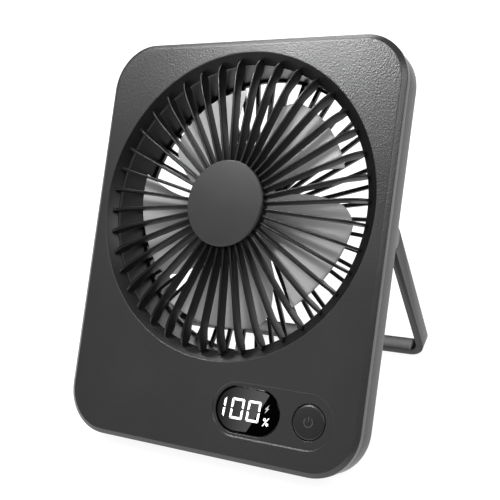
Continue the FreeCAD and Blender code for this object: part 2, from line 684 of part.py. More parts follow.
def make_bearings():
    """Two shaft bearings at the ends of the bearing tube."""
    inner = "shaft_radius + running_gap"
    keep("front_bearing", tube("FrontBearing", "bearing_radius", inner,
                               f"{TUBE_FRONT} + 0.2", f"{TUBE_FRONT} + 0.2 + bearing_width"))
    keep("rear_bearing", tube("RearBearing", "bearing_radius", inner,
                              f"{REAR_FACE} - bearing_width - 1.6", f"{REAR_FACE} - 1.6"))


def make_stator():
    """Stator core with round slots, and the windings that fill them."""
    back = f"{STATOR_FRONT} + stator_length"
    core = tube("StatorCore", STATOR_RADIUS, f"{TUBE_OUTER} + assembly_gap / 4", STATOR_FRONT, back)
    count = int(value("slot_count"))
    slots = []
    windings = []
    for index in range(count):
        angle = 360.0 * index / count
        slots.append(fan_axis_rod(f"Slot{index + 1}", "slot_radius", STATOR_FRONT, back,
                                  "slot_circle", angle))
        windings.append(fan_axis_rod(f"Winding{index + 1}", "slot_radius - winding_gap",
                                     f"{STATOR_FRONT} - winding_overhang",
                                     f"{back} + winding_overhang", "slot_circle", angle))
        mouth = box(f"SlotMouth{index + 1}_block", "slot_circle", f"{STATOR_FRONT} - 1",
                    "fan_height - slot_mouth / 2", "bell_radius - slot_circle", "stator_length + 2",
                    "slot_mouth")
        turned = doc.addObject("Part::Compound", f"SlotMouth{index + 1}")
        turned.Links = [mouth]
        turned.Placement = Placement(Vector(), Rotation(Vector(0, 1, 0), -angle),
                                     Vector(0, 0, value("fan_height")))
        slots.append(turned)
    keep("stator_core", cut("StatorSlotted", core, *slots))
    keep("stator_windings", group("StatorWindings", *windings))


def make_rotor():
    """Rotor bell, its magnet ring, the shaft and the clip that keeps the shaft in."""
    front = "(hub_front + hub_plate + assembly_gap / 4)"
    bell = disc("BellSolid", "bell_radius", front, "hub_back + 1.4")
    inside = disc("BellInside", "bell_radius - bell_wall", f"{front} + bell_wall", "hub_back + 3")
    hole = disc("BellHole", f"{TUBE_OUTER} + 0.9", "hub_front", "hub_back")
    keep("rotor_bell", cut("RotorBell", bell, inside, hole))
    keep("rotor_magnet", tube("RotorMagnet", "bell_radius - bell_wall - assembly_gap / 4", MAGNET_INNER,
                              f"{STATOR_FRONT} - 0.6", "hub_back + 1.4"))
    shaft_end = f"({REAR_FACE} - 0.3)"
    shaft = disc("ShaftSolid", "shaft_radius", "hub_front + hub_plate / 2", shaft_end)
    groove = tube("ShaftGroove", "shaft_radius + 1", "shaft_radius - 0.4", f"{shaft_end} - 0.95",
                  f"{shaft_end} - 0.4")
    keep("motor_shaft", cut("MotorShaft", shaft, groove))
    clip = tube("ClipRing", "shaft_radius + 1.1", "shaft_radius - 0.38", f"{shaft_end} - 0.9",
                f"{shaft_end} - 0.45")
    mouth = box("ClipMouth", "0", REAR_FACE + " - 3", "fan_height - 1", "5", "5", "2")
    keep("shaft_clip", cut("ShaftClip", clip, mouth))


# Angle of the first blade's middle line, in degrees.
BLADE_START = 14.0

# Blade outline: distance from the axis along the blade's middle line, then how far the leading and
# trailing edges stand to each side of that line, all as shares of the tip radius.
BLADE_OUTLINE = [
    (0.22, -0.10, 0.19),
    (0.40, -0.22, 0.27),
    (0.60, -0.37, 0.31),
    (0.80, -0.60, 0.31),
    (0.92, -0.74, 0.26),
    (1.02, -0.85, 0.12),
]


def blade_section(distance, lead, trail):
    """Return one closed, flat blade section at a distance from the axis."""
    front, back = value("blade_front"), value("blade_back")
    half = value("blade_thickness") / 2
    steps = 6
    sides = []
    for side in (-1, 1):
        points = []
        for step in range(steps + 1):
            along = step / steps
            camber = 1.2 * math.sin(math.pi * along)
            fullness = 0.35 + 0.65 * math.sin(math.pi * (0.08 + 0.84 * along))
            depth = front + (back - front) * along - camber + side * half * fullness
            points.append(Vector(distance, depth, lead + (trail - lead) * along))
        curve = Part.BSplineCurve()
        curve.interpolate(points)
        sides.append((curve.toShape(), points))
    (upper, high), (lower, low) = sides
    return Part.Wire([upper, Part.makeLine(high[-1], low[-1]), lower, Part.makeLine(low[0], high[0])])


def make_blades():
    """Return the blades: wide, swept and trimmed to the tip radius."""
    tip = value("blade_tip_radius")
    sections = [blade_section(*(share * tip for share in row)) for row in BLADE_OUTLINE]
    reach = value("fan_depth")
    trim = Part.makeCylinder(tip, reach, Vector(), Vector(0, 1, 0))
    blade = Part.makeLoft(sections, True, False).common(trim)
    count = int(value("blade_count"))
    blades = []
    for index in range(count):
        copy = blade.copy()
        copy.rotate(Vector(), Vector(0, 1, 0), 360.0 * index / count + BLADE_START)
        copy.translate(Vector(0, 0, value("fan_height")))
        blades.append(copy)
    return Part.makeCompound(blades)


def make_impeller():
    """Impeller: hub cup with wide swept blades."""
    cup = disc("HubSolid", "hub_radius", "hub_front", "hub_back")
    inside = disc("HubInside", "bell_radius + assembly_gap / 4", "hub_front + hub_plate", "hub_back + 1")
    bore = disc("HubBore", "shaft_radius + 0.01", "hub_front + hub_plate / 2", "hub_back")
    boss = disc("HubBoss", "shaft_radius + 1.6", "hub_front + hub_plate / 2", f"{TUBE_FRONT} - 0.3")
    shapes = doc.addObject("Part::Feature", "Blades")
    shapes.Shape = make_blades()
    ring_inside = disc("BladeTrim", "bell_radius + 1", "0", "fan_depth")
    blades = cut("BladesTrimmed", shapes, ring_inside)
    shell = cut("HubCup", cup, inside)
    return keep("impeller", cut("Impeller", fuse("ImpellerSolid", shell, boss, blades), bore))


# ---------------------------------------------------------------------------------------------
# Controls and electronics
# ---------------------------------------------------------------------------------------------

def make_display():
    """Glossy display window and the light block behind it."""
    keep("display_window", stadium("DisplayWindow", "window_centre", "window_width", "window_height",
                                   "pod_sink", "pod_sink + window_thickness"))
    keep("display_module", box("DisplayModule", "window_centre - window_width / 2 + 3",
                               "pod_sink + window_thickness", "-pod_drop - 7", "window_width - 6",
                               "board_depth - pod_sink - window_thickness", "14"))


def make_button():
    """Power button with its skirt, and the switch plunger under it."""
    front = "(pod_sink - button_proud)"
    skirt_front = "(plate_thickness + 0.2)"
    top = rod("ButtonTop", "button_radius", f"{skirt_front} + 0.5 - {front}", "button_centre", front,
              "-pod_drop")
    skirt = rod("ButtonSkirt", "button_radius + button_skirt", "button_skirt", "button_centre", skirt_front,
                "-pod_drop")
    stem = rod("ButtonStem", "stem_radius", f"{PLUNGER_FRONT} - {skirt_front} - 0.5", "button_centre",
               f"{skirt_front} + 0.5", "-pod_drop")
    keep("power_button", fuse("PowerButton", top, skirt, stem))
    keep("switch_plunger", rod("SwitchPlunger", "plunger_radius", "1.6", "button_centre",
                               PLUNGER_FRONT, "-pod_drop"))


def make_board():
    """Board with its switch and its charging socket, and the block the screws go into."""
    plate = box("BoardPlate", BOARD_LEFT, "board_depth", BOARD_BOTTOM,
                "board_width", "board_thickness", "board_height")
    holes = [rod(f"BoardHole{i + 1}", "screw_radius + 0.1", "board_thickness + 2", x, "board_depth - 1", z)
             for i, (x, z) in enumerate(BOARD_SCREW_PLACES)]
    keep("main_board", cut("MainBoard", plate, *holes))
    body = box("SwitchBody", "button_centre - switch_size / 2", "board_depth - switch_thickness",
               "-pod_drop - switch_size / 2", "switch_size", "switch_thickness", "switch_size")
    hole = rod("SwitchHole", "plunger_radius + running_gap", "button_travel + 1", "button_centre",
               "board_depth - switch_thickness - 0.1", "-pod_drop")
    keep("tact_switch", cut("TactSwitch", body, hole))


BOARD_SCREW_PLACES = [
    ("window_centre - window_width / 2 - 1.7", "-pod_drop + board_height / 2 - 2.5"),
    ("button_centre + 6", "-pod_drop + board_height / 2 - 2.5"),
    ("button_centre + 6", "-pod_drop - board_height / 2 + 2.5"),
]


def make_socket():
    """Charging socket: a flat metal sleeve open at the left side of the body."""
    start = "(-face_width / 2 + shell_inset + 0.4)"
    low = "(-pod_drop + socket_rise)"
    front = "(slab_depth - socket_depth)"
    shell = box("SocketShell", start, front, low, "socket_length", "socket_thickness", "socket_width")
    inside = box("SocketInside", f"{start} - 1", f"{front} + socket_wall", f"{low} + socket_wall",
                 "socket_length", "socket_thickness - 2 * socket_wall", "socket_width - 2 * socket_wall")
    tongue = box("SocketTongue", f"{start} + 1", f"{front} + socket_thickness / 2 - 0.35", f"{low} + 1.2",
                 "socket_length - 1.4", "0.7", "socket_width - 2.4")
    keep("usb_socket", fuse("UsbSocket", cut("SocketSleeve", shell, inside), tongue))
    keep("charge_board", box("ChargeBoard", f"{start} + 2.0", f"{front} + socket_thickness", f"{low} - 2",
                             "11", "1.0", "13"))


def make_battery():
    """Flat battery on a foam pad in the lower left of the body."""
    keep("battery_cell", box("BatteryCell", LEFT_BATTERY, BATTERY_FRONT, f"{BOTTOM_INSIDE} + 1.4",
                             "battery_width", "battery_thickness", "battery_height"))
    keep("battery_pad", box("BatteryPad", f"{LEFT_BATTERY} + 3", f"{BATTERY_FRONT} + battery_thickness",
                            f"{BOTTOM_INSIDE} + 4", "battery_width - 6", "pad_thickness",
                            "battery_height - 6"))


# ---------------------------------------------------------------------------------------------
# Leads
# ---------------------------------------------------------------------------------------------

def lead(name, points, bend):
    """Make a round lead along straight runs joined by tangent arcs."""
    stops = [Vector(*(value(part) for part in point)) for point in points]
    edges = []
    start = stops[0]
    for before, corner, after in zip(stops, stops[1:], stops[2:]):
        into = (corner - before).normalize()
        out = (after - corner).normalize()
        turn = math.acos(into.dot(out))
        back_off = bend * math.tan(turn / 2)
        first = corner - into * back_off
        last = corner + out * back_off
        middle = corner + (out - into).normalize() * bend * (1 / math.cos(turn / 2) - 1)
        edges.append(Part.LineSegment(start, first).toShape())
        edges.append(Part.Arc(first, middle, last).toShape())
        start = last
    edges.append(Part.LineSegment(start, stops[-1]).toShape())
    heading = stops[1] - stops[0]
    section = Part.Wire(Part.Circle(stops[0], heading, value("lead_radius")).toShape())
    item = doc.addObject("Part::Feature", name)
    item.Shape = Part.Wire(edges).makePipeShell([section], True, False)
    return item


def make_leads():
    """Leads from the battery and the charging socket to the board, and the motor's ribbon."""
    behind = "board_depth + board_thickness + lead_radius + 0.05"
    battery_end = f"{LEFT_BATTERY} + battery_width"
    battery = [lead(f"BatteryLead{i + 1}", [
        (battery_end, behind, f"-pod_drop - {4 + 2 * i}"),
        (f"{BOARD_LEFT} + {3 + i}", behind, f"-pod_drop - {4 + 2 * i}"),
    ], 3) for i in range(2)]
    keep("battery_leads", group("BatteryLeads", *battery))
    over = f"({BOTTOM_INSIDE} + 1.4 + battery_height + 2.2)"
    socket_end = "-face_width / 2 + shell_inset + 14.6"
    charge = [lead(f"ChargeLead{i + 1}", [
        (socket_end, f"{behind} + ribbon_thickness", f"{over} + {1.6 * i}"),
        (f"{BOARD_LEFT} + {6.6 + 1.6 * i}", f"{behind} + ribbon_thickness", f"{over} + {1.6 * i}"),
        (f"{BOARD_LEFT} + {6.6 + 1.6 * i}", behind, f"-pod_drop + board_height / 2 - 3"),
    ], 3) for i in range(2)]
    keep("charge_leads", group("ChargeLeads", *charge))
    left = "-ribbon_width / 2"
    low = f"(fan_height - {DRUM_OUTER} - 0.6)"
    behind_board = "(board_depth + board_thickness)"
    board_top = "(-pod_drop + board_height / 2)"
    ribbon = [
        box("RibbonSpoke", left, f"{REAR_FACE} - ribbon_thickness", low,
            "ribbon_width", "ribbon_thickness", f"{DRUM_OUTER} + 0.6 - rear_hub_radius + 3.5"),
        box("RibbonDrop", left, behind_board, low, "ribbon_width",
            f"{REAR_FACE} - {behind_board}", "ribbon_thickness"),
        box("RibbonDown", left, behind_board, f"{board_top} - 9", "ribbon_width", "ribbon_thickness",
            f"{low} + ribbon_thickness - {board_top} + 9"),
        box("RibbonAcross", left, behind_board, f"{board_top} - 9",
            f"{BOARD_LEFT} + 3.5 + ribbon_width / 2", "ribbon_thickness", "ribbon_width"),
    ]
    keep("motor_ribbon", fuse("MotorRibbon", *ribbon))


# ---------------------------------------------------------------------------------------------
# Fasteners
# ---------------------------------------------------------------------------------------------

def screw(name, x, z, seat, thread):
    """Make a pan-head screw whose head sits behind a seat and whose thread runs to the front."""
    head = rod(name + "_head", "screw_head_radius", "screw_head", x, seat, z)
    body = rod(name + "_thread", "screw_radius - 0.02", f"{thread} + 0.1", x, f"{seat} - ({thread})", z)
    recess_long = box(name + "_slot_long", f"{x} - 0.25", f"{seat} + screw_head - 0.6", f"{z} - 1.2",
                      "0.5", "1", "2.4")
    recess_wide = box(name + "_slot_wide", f"{x} - 1.2", f"{seat} + screw_head - 0.6", f"{z} - 0.25",
                      "2.4", "1", "0.5")
    return cut(name, fuse(name + "_solid", head, body), recess_long, recess_wide)


def make_screws():
    """All screws, one node for each kind."""
    casing = [screw(f"CasingScrew{i + 1}", x, z, "(slab_depth - screw_head)", "screw_length")
              for i, (x, z) in enumerate(POST_PLACES)]
    keep("casing_screws", group("CasingScrews", *casing))
    board = [screw(f"BoardScrew{i + 1}", x, z, "(board_depth + board_thickness)", "4")
             for i, (x, z) in enumerate(BOARD_SCREW_PLACES)]
    keep("board_screws", group("BoardScrews", *board))
    motor = []
    for index in range(3):
        angle = 120 * index
        x = f"motor_screw_circle * cos({angle})"
        z = f"fan_height + motor_screw_circle * sin({angle})"
        motor.append(screw(f"MotorScrew{index + 1}", x, z, "fan_depth", "3"))
    keep("motor_screws", group("MotorScrews", *motor))


# ---------------------------------------------------------------------------------------------
# Stand
# ---------------------------------------------------------------------------------------------

def make_bail():
    """Bail: a flat strap bent to a U, half lapped at its hinges, drawn hanging from the hinge."""
    outer = new_body("BailOuter")
    outline = new_sketch(outer, "BailOuterOutline", "XZ_Plane", "-20")
    rounded_outline(outline, "bail_outer", "bail_length", "bail_corner")
    pad(outer, "BailOuterPad", outline, "40")
    inner = new_body("BailInner")
    gap = new_sketch(inner, "BailInnerOutline", "XZ_Plane", "-21")
    rounded_outline(gap, BAIL_INNER, "bail_length - bail_thickness", "bail_corner - bail_thickness")
    pad(inner, "BailInnerPad", gap, "42")
    frame = cut("BailFrame", outer, inner)
    side = polygon_bar("BailSide", [
        ("bail_offset + bail_top_width / 2", "0"),
        ("bail_offset - bail_top_width / 2", "0"),
        ("bail_offset - bail_foot_width / 2", "-bail_length - 1"),
        ("bail_offset + bail_foot_width / 2", "-bail_length - 1"),
    ], "YZ_Plane", "-bail_outer - 1", "2 * bail_outer + 2")
    knuckle = rod("BailKnuckle", "knuckle_radius", "2 * bail_outer + 2", "-bail_outer - 1", "0", "0",
                  along="X")
    strap = common("BailStrap", frame, fuse("BailProfile", side, knuckle))
    laps = []
    for side_sign in (1, -1):
        start = f"{EAR_INNER} - hinge_gap / 2" if side_sign > 0 else "-bail_outer - 1"
        laps.append(rod(f"Lap{side_sign + 2}", "ear_radius + hinge_gap",
                        "ear_thickness + hinge_gap / 2 + 1", start, "0", "0", along="X"))
    hole = rod("BailHole", "pin_radius + running_gap", "2 * bail_outer + 2", "-bail_outer - 1", "0", "0",
               along="X")
    foot = (value("bail_offset"), value("foot_reach - foot_sink - bail_length"))
    seat = pad_block("BailPadSeat", "bail_pad_length", foot, LEAN - value("bail_angle"))
    keep("stand_bail", cut("StandBail", strap, *laps, hole, seat))
    keep("bail_foot", pad_block("BailFoot", "bail_pad_length", foot, LEAN - value("bail_angle")))


def make_pins():
    """Hinge pins through the ears, the bail and the bosses."""
    length = "(bail_outer - ear_skin - duct_radius - duct_wall - assembly_gap)"
    right = rod("RightPin", "pin_radius", length, "duct_radius + duct_wall + assembly_gap",
                "pivot_depth", "pivot_height", along="X")
    left = rod("LeftPin", "pin_radius", length, "-(bail_outer - ear_skin)", "pivot_depth", "pivot_height",
               along="X")
    keep("hinge_pins", group("HingePins", right, left))


# ---------------------------------------------------------------------------------------------
# Assembly
# ---------------------------------------------------------------------------------------------

def build_all():
    """Build every sub-part in the fan's upright frame."""
    make_front_shell()
    make_rear_shell()
    make_body_feet()
    make_front_grille()
    make_grille_cap()
    make_air_duct()
    make_rear_grille()
    make_motor_base()
    make_bearings()
    make_stator()
    make_rotor()
    make_impeller()
    make_display()
    make_button()
    make_board()
    make_socket()
    make_battery()
    make_leads()
    make_screws()
    make_bail()
    make_pins()


def stand_up():
    """Open the bail, lean everything back and put the ground under it."""
    lean = Rotation(Vector(1, 0, 0), -LEAN)
    open_bail = Rotation(Vector(1, 0, 0), value("bail_angle"))
    hinge = Vector(0, value("pivot_depth"), value("pivot_height"))
    places = {}
    for node in PARTS:
        inside = Placement(hinge, open_bail) if node in ("stand_bail", "bail_foot") else Placement()
        places[node] = Placement(Vector(), lean) * inside
    ground = lean.multVec(Vector(0, *BODY_FOOT)).z - value("foot_reach")
    for node, item in PARTS.items():
        item.Placement = places[node] * item.Placement
    doc.recompute()
    boxes = [item.Shape.optimalBoundingBox(False, False) for item in PARTS.values()]
    middle = (min(b.YMin for b in boxes) + max(b.YMax for b in boxes)) / 2
    for item in PARTS.values():
        item.Placement = Placement(Vector(0, -middle, -ground), Rotation()) * item.Placement
    doc.recompute()


def check_and_write():
    """Stop on any failed object or bad shape, then write one file for each sub-part."""
    for item in doc.Objects:
        if "Invalid" in item.State or "Error" in item.State:
            raise RuntimeError(f"{item.Name} failed: {item.State}")
    for node, item in PARTS.items():
        if item.Shape.isNull() or not item.Shape.isValid():
            raise RuntimeError(f"{node} has no valid shape")
    os.makedirs("parts", exist_ok=True)
    for node, item in PARTS.items():
        item.Shape.exportStep(f"parts/{node}.step")
        print(node, len(item.Shape.Solids), round(item.Shape.Volume, 1))


build_all()
doc.recompute()
stand_up()
doc.removeObject(probe.Name)
check_and_write()
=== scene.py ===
"""A slim rechargeable desk fan that leans back on a folding bail, dressed and lit in a studio.

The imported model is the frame: it says where every part is.  The classes below build the finer
visible pieces round it, in the fan's own leaning axes and in millimetres, and give every part,
new or carried over, the finish of the real material.
"""

import json
import logging
import math
from dataclasses import dataclass
from enum import Enum
from typing import Iterable, Optional, Sequence

import bmesh
import bpy
from mathutils import Matrix, Vector
from mathutils.geometry import delaunay_2d_cdt


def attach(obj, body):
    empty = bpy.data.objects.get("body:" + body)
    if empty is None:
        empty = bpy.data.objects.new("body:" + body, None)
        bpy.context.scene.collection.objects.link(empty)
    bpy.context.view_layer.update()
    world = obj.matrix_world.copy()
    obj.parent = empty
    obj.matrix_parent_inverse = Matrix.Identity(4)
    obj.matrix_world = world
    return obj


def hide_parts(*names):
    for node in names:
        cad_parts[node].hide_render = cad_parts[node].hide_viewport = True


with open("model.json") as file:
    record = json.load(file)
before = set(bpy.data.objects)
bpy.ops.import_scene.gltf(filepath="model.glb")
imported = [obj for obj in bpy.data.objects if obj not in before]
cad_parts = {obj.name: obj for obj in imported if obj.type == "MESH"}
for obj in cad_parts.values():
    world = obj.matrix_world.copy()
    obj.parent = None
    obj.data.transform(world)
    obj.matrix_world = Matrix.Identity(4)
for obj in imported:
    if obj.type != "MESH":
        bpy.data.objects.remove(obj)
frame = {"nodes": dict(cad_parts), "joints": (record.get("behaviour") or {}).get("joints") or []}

LOG = logging.getLogger("desk_fan")
MM = 0.001
Point = tuple[float, float]


# ---------------------------------------------------------------------------------------------
# Materials
# ---------------------------------------------------------------------------------------------

def linear(colour: str) -> tuple[float, float, float, float]:
    """Turn an sRGB hex colour into linear values.

    Args:
        colour: The colour as "#rrggbb".

    Returns:
        Red, green, blue and an alpha of one.
    """
    parts = [int(colour[start:start + 2], 16) / 255 for start in (1, 3, 5)]
    values = [part / 12.92 if part <= 0.04045 else ((part + 0.055) / 1.055) ** 2.4 for part in parts]
    return (values[0], values[1], values[2], 1.0)


def add_node(tree: bpy.types.NodeTree, kind: str, settings: Optional[dict] = None,
             **inputs: object) -> bpy.types.Node:
    """Add a node with its settings and links.

    Args:
        tree: The material's node tree.
        kind: The node's type name, without "ShaderNode".
        settings: Attributes of the node itself.
        inputs: Socket values or output sockets to link, by socket name with "_" for a space.

    Returns:
        The new node.
    """
    node = tree.nodes.new("ShaderNode" + kind)
    for name, setting in (settings or {}).items():
        setattr(node, name, setting)
    for name, given in inputs.items():
        label = name.replace("_", " ")
        socket = node.inputs[int(label[2:])] if label.startswith("in") else node.inputs[label]
        if isinstance(given, bpy.types.NodeSocket):
            tree.links.new(given, socket)
        else:
            socket.default_value = given
    return node


def empty_material(name: str) -> bpy.types.Material:
    """Make a material with an empty node tree."""
    material = bpy.data.materials.new(name)
    material.use_nodes = True
    material.node_tree.nodes.clear()
    return material


class Surface(Enum):
    """How a surface was made, which decides its fine relief."""

    SPARK_ERODED = "moulded against a spark-eroded tool, a fine leathery grain"
    SATIN = "moulded against a fine blasted tool"
    POLISHED = "moulded against a polished tool"
    TURNED = "turned on a lathe, rings round the fan's axis"
    WOUND = "wound from round wire"
    FOAMED = "open foam"


@dataclass(frozen=True)
class Finish:
    """One real material with the way its surface was made.

    A specular level of 0.5 gives the reflection that the refractive index asks for, and less holds it
    below that.
    """

    name: str
    colour: str
    shade: str
    roughness: float
    surface: Surface = Surface.SATIN
    metallic: float = 0.0
    ior: float = 1.5
    grain_mm: float = 0.5
    depth_mm: float = 0.01
    roughness_spread: float = 0.05
    mottle_mm: float = 14.0
    coat: float = 0.0
    specular: float = 0.5

    def build(self) -> bpy.types.Material:
        """Make the material, or return it if it was made before."""
        made = bpy.data.materials.get(self.name)
        if made is not None:
            return made
        material = empty_material(self.name)
        material.diffuse_color = linear(self.colour)
        tree = material.node_tree
        place = add_node(tree, "TexCoord").outputs["Object"]
        mottle = add_node(tree, "TexNoise", Vector=place, Scale=1 / (self.mottle_mm * MM),
                          Detail=3.0, Roughness=0.55)
        tint = add_node(tree, "Mix", {"data_type": "RGBA"}, Factor=mottle.outputs["Fac"])
        tint.inputs["A"].default_value = linear(self.colour)
        tint.inputs["B"].default_value = linear(self.shade)
        rough = add_node(tree, "MapRange", Value=mottle.outputs["Fac"],
                         To_Min=max(0.0, self.roughness - self.roughness_spread),
                         To_Max=min(1.0, self.roughness + self.roughness_spread))
        shader = add_node(tree, "BsdfPrincipled", Base_Color=tint.outputs["Result"],
                          Roughness=rough.outputs["Result"], Metallic=self.metallic, Coat_Weight=self.coat,
                          Specular_IOR_Level=self.specular)
        if self.metallic == 0.0:
            shader.inputs["IOR"].default_value = self.ior
        relief = self.relief(tree, place)
        if relief is not None:
            bump = add_node(tree, "Bump", Strength=1.0, Distance=self.depth_mm * MM, Height=relief)
            tree.links.new(bump.outputs["Normal"], shader.inputs["Normal"])
        add_node(tree, "OutputMaterial", Surface=shader.outputs["BSDF"])
        return material

    def relief(self, tree: bpy.types.NodeTree, place: bpy.types.NodeSocket) -> Optional[bpy.types.NodeSocket]:
        """Return the height pattern of the surface.

        Args:
            tree: The material's node tree.
            place: The position that the pattern follows.

        Returns:
            The height's socket, or None for a polished surface.
        """
        scale = 1 / (self.grain_mm * MM)
        if self.surface is Surface.POLISHED:
            return None
        if self.surface is Surface.SPARK_ERODED:
            cells = add_node(tree, "TexVoronoi", {"feature": "SMOOTH_F1"}, Vector=place, Scale=scale,
                             Smoothness=0.6)
            pits = add_node(tree, "TexNoise", Vector=place, Scale=scale * 0.6, Detail=4.0, Roughness=0.6)
            both = add_node(tree, "Math", {"operation": "ADD"}, in0=cells.outputs["Distance"],
                            in1=pits.outputs["Fac"])
            return both.outputs["Value"]
        if self.surface is Surface.TURNED:
            rings = add_node(tree, "TexNoise", Vector=place, Scale=scale, Detail=2.0, Distortion=0.5)
            return rings.outputs["Fac"]
        if self.surface is Surface.WOUND:
            wires = add_node(tree, "TexWave", {"wave_type": "BANDS", "bands_direction": "DIAGONAL"},
                             Vector=place, Scale=scale, Distortion=0.4)
            return wires.outputs["Fac"]
        detail = 6.0 if self.surface is Surface.FOAMED else 3.0
        noise = add_node(tree, "TexNoise", Vector=place, Scale=scale, Detail=detail, Roughness=0.65)
        return noise.outputs["Fac"]


# Charcoal ABS from a spark-eroded tool: satin, with a leathery grain that breaks up highlights.
CASING_ABS = Finish("moulded_abs_charcoal", "#2e2e2f", "#333334", 0.3, Surface.SPARK_ERODED,
                    grain_mm=0.7, depth_mm=0.035, mottle_mm=30.0)
# Blacker ABS from a finer tool. Its reflection is held below the plastic's own, so that the lit
# studio doesn't lighten it.
GRILLE_ABS = Finish("moulded_abs_grille", "#121213", "#161617", 0.32, grain_mm=0.35, depth_mm=0.006,
                    specular=0.35)
# The cap's ABS is a little darker than the casing's, with a finer grain.
CAP_ABS = Finish("moulded_abs_cap", "#28282a", "#2c2c2d", 0.4, Surface.SPARK_ERODED,
                 grain_mm=0.4, depth_mm=0.015)
# Black polycarbonate. Its reflection is held far below the plastic's own, so that the lit studio
# doesn't lighten it.
DUCT_POLYCARBONATE = Finish("moulded_polycarbonate_duct", "#050506", "#070708", 0.32, Surface.SATIN,
                            ior=1.585, roughness_spread=0.08, depth_mm=0.004, specular=0.1)
# Light grey polypropylene: satin, faintly waxy.
FAN_POLYPROPYLENE = Finish("moulded_polypropylene_blades", "#c0c0c0", "#b8b8b9", 0.4, grain_mm=0.4,
                           depth_mm=0.004, ior=1.49, roughness_spread=0.04)
# Smoked acrylic over the display: mirror smooth and nearly black.
LENS_ACRYLIC = Finish("polished_acrylic_smoked", "#020202", "#030303", 0.008, Surface.POLISHED,
                      ior=1.49, roughness_spread=0.004)
# Charcoal ABS of the button, finely grained.
BUTTON_ABS = Finish("moulded_abs_button", "#232324", "#272728", 0.36, grain_mm=0.3, depth_mm=0.004)
# Grey pad print of the power sign, lighter than the button.
SIGN_INK = Finish("pad_printed_ink_sign", "#4a4a4b", "#454546", 0.5, grain_mm=0.3, depth_mm=0.002)
# Black glass-filled nylon of the bail, finely grained. Its reflection is held a little below its own.
BAIL_NYLON = Finish("moulded_nylon_bail", "#161617", "#1b1b1c", 0.3, grain_mm=0.45, depth_mm=0.008,
                    specular=0.4)
# Black silicone pads: dull and soft.
FOOT_SILICONE = Finish("moulded_silicone_pads", "#171717", "#1d1d1d", 0.7, grain_mm=0.6, depth_mm=0.02)
# Bright steel of the shaft, pins and shells.
BRIGHT_STEEL = Finish("drawn_steel_bright", "#b8b8ba", "#a9a9ac", 0.25, Surface.TURNED, metallic=1.0,
                      grain_mm=0.25, depth_mm=0.003)
# Blackened steel screws.
BLACK_STEEL = Finish("blackened_steel_screws", "#2b2b2d", "#39393b", 0.4, metallic=1.0, grain_mm=0.3,
                     depth_mm=0.006)
# Zinc alloy of the motor base, as cast.
CAST_ZINC = Finish("cast_zinc_base", "#9a9a9d", "#8b8b8f", 0.45, metallic=1.0, grain_mm=0.5,
                   depth_mm=0.012)
# Sintered magnet: dark and even.
SINTERED_MAGNET = Finish("sintered_ferrite_magnet", "#2c2b2d", "#353436", 0.6, grain_mm=0.25,
                         depth_mm=0.01)
# Enamelled copper wire, wound tight.
COPPER_WIRE = Finish("enamelled_copper_wire", "#b4622f", "#8f4a22", 0.3, Surface.WOUND, metallic=1.0,
                     grain_mm=0.5, depth_mm=0.05)
# Green glass-fibre laminate under a clear solder mask.
BOARD_LAMINATE = Finish("masked_laminate_board", "#0f4a2a", "#14573a", 0.3, grain_mm=0.8,
                        depth_mm=0.005, coat=0.3)
# Silver laminate wrap of the battery.
BATTERY_WRAP = Finish("pressed_foil_battery", "#8f9296", "#a3a6aa", 0.35, metallic=0.6, grain_mm=1.5,
                      depth_mm=0.03)
# Grey foam under the battery.
PAD_FOAM = Finish("open_foam_pad", "#3c3c3e", "#2b2b2d", 0.9, Surface.FOAMED, grain_mm=0.7, depth_mm=0.15)
# Vinyl sleeves of the leads.
LEAD_VINYL = Finish("extruded_vinyl_leads", "#9c1c1c", "#8a1717", 0.4, grain_mm=0.6, depth_mm=0.004)
# White vinyl of the motor's flat lead.
RIBBON_VINYL = Finish("extruded_vinyl_ribbon", "#d9d8d2", "#cfcec7", 0.42, grain_mm=0.6, depth_mm=0.004)
# Black nylon of the switch and the light block.
SWITCH_NYLON = Finish("moulded_nylon_switch", "#1c1c1d", "#232324", 0.45, grain_mm=0.4, depth_mm=0.005)


@dataclass(frozen=True)
class Glow:
    """A lit mark of the display, laid just in front of the window."""

    name: str
    colour: str
    strength: float

    def build(self) -> bpy.types.Material:
        """Make the glowing material."""
        made = bpy.data.materials.get(self.name)
        if made is not None:
            return made
        material = empty_material(self.name)
        material.diffuse_color = linear(self.colour)
        tree = material.node_tree
        shader = add_node(tree, "BsdfPrincipled", Base_Color=linear(self.colour), Roughness=0.4,
                          Emission_Color=linear(self.colour), Emission_Strength=self.strength)
        add_node(tree, "OutputMaterial", Surface=shader.outputs["BSDF"])
        return material


DIGIT_GLOW = Glow("lit_display_digits", "#ffffff", 0.9)
SYMBOL_GLOW = Glow("lit_display_symbols", "#b0b0b0", 0.35)


# ---------------------------------------------------------------------------------------------
# The fan's own axes and the mesh helpers
# ---------------------------------------------------------------------------------------------

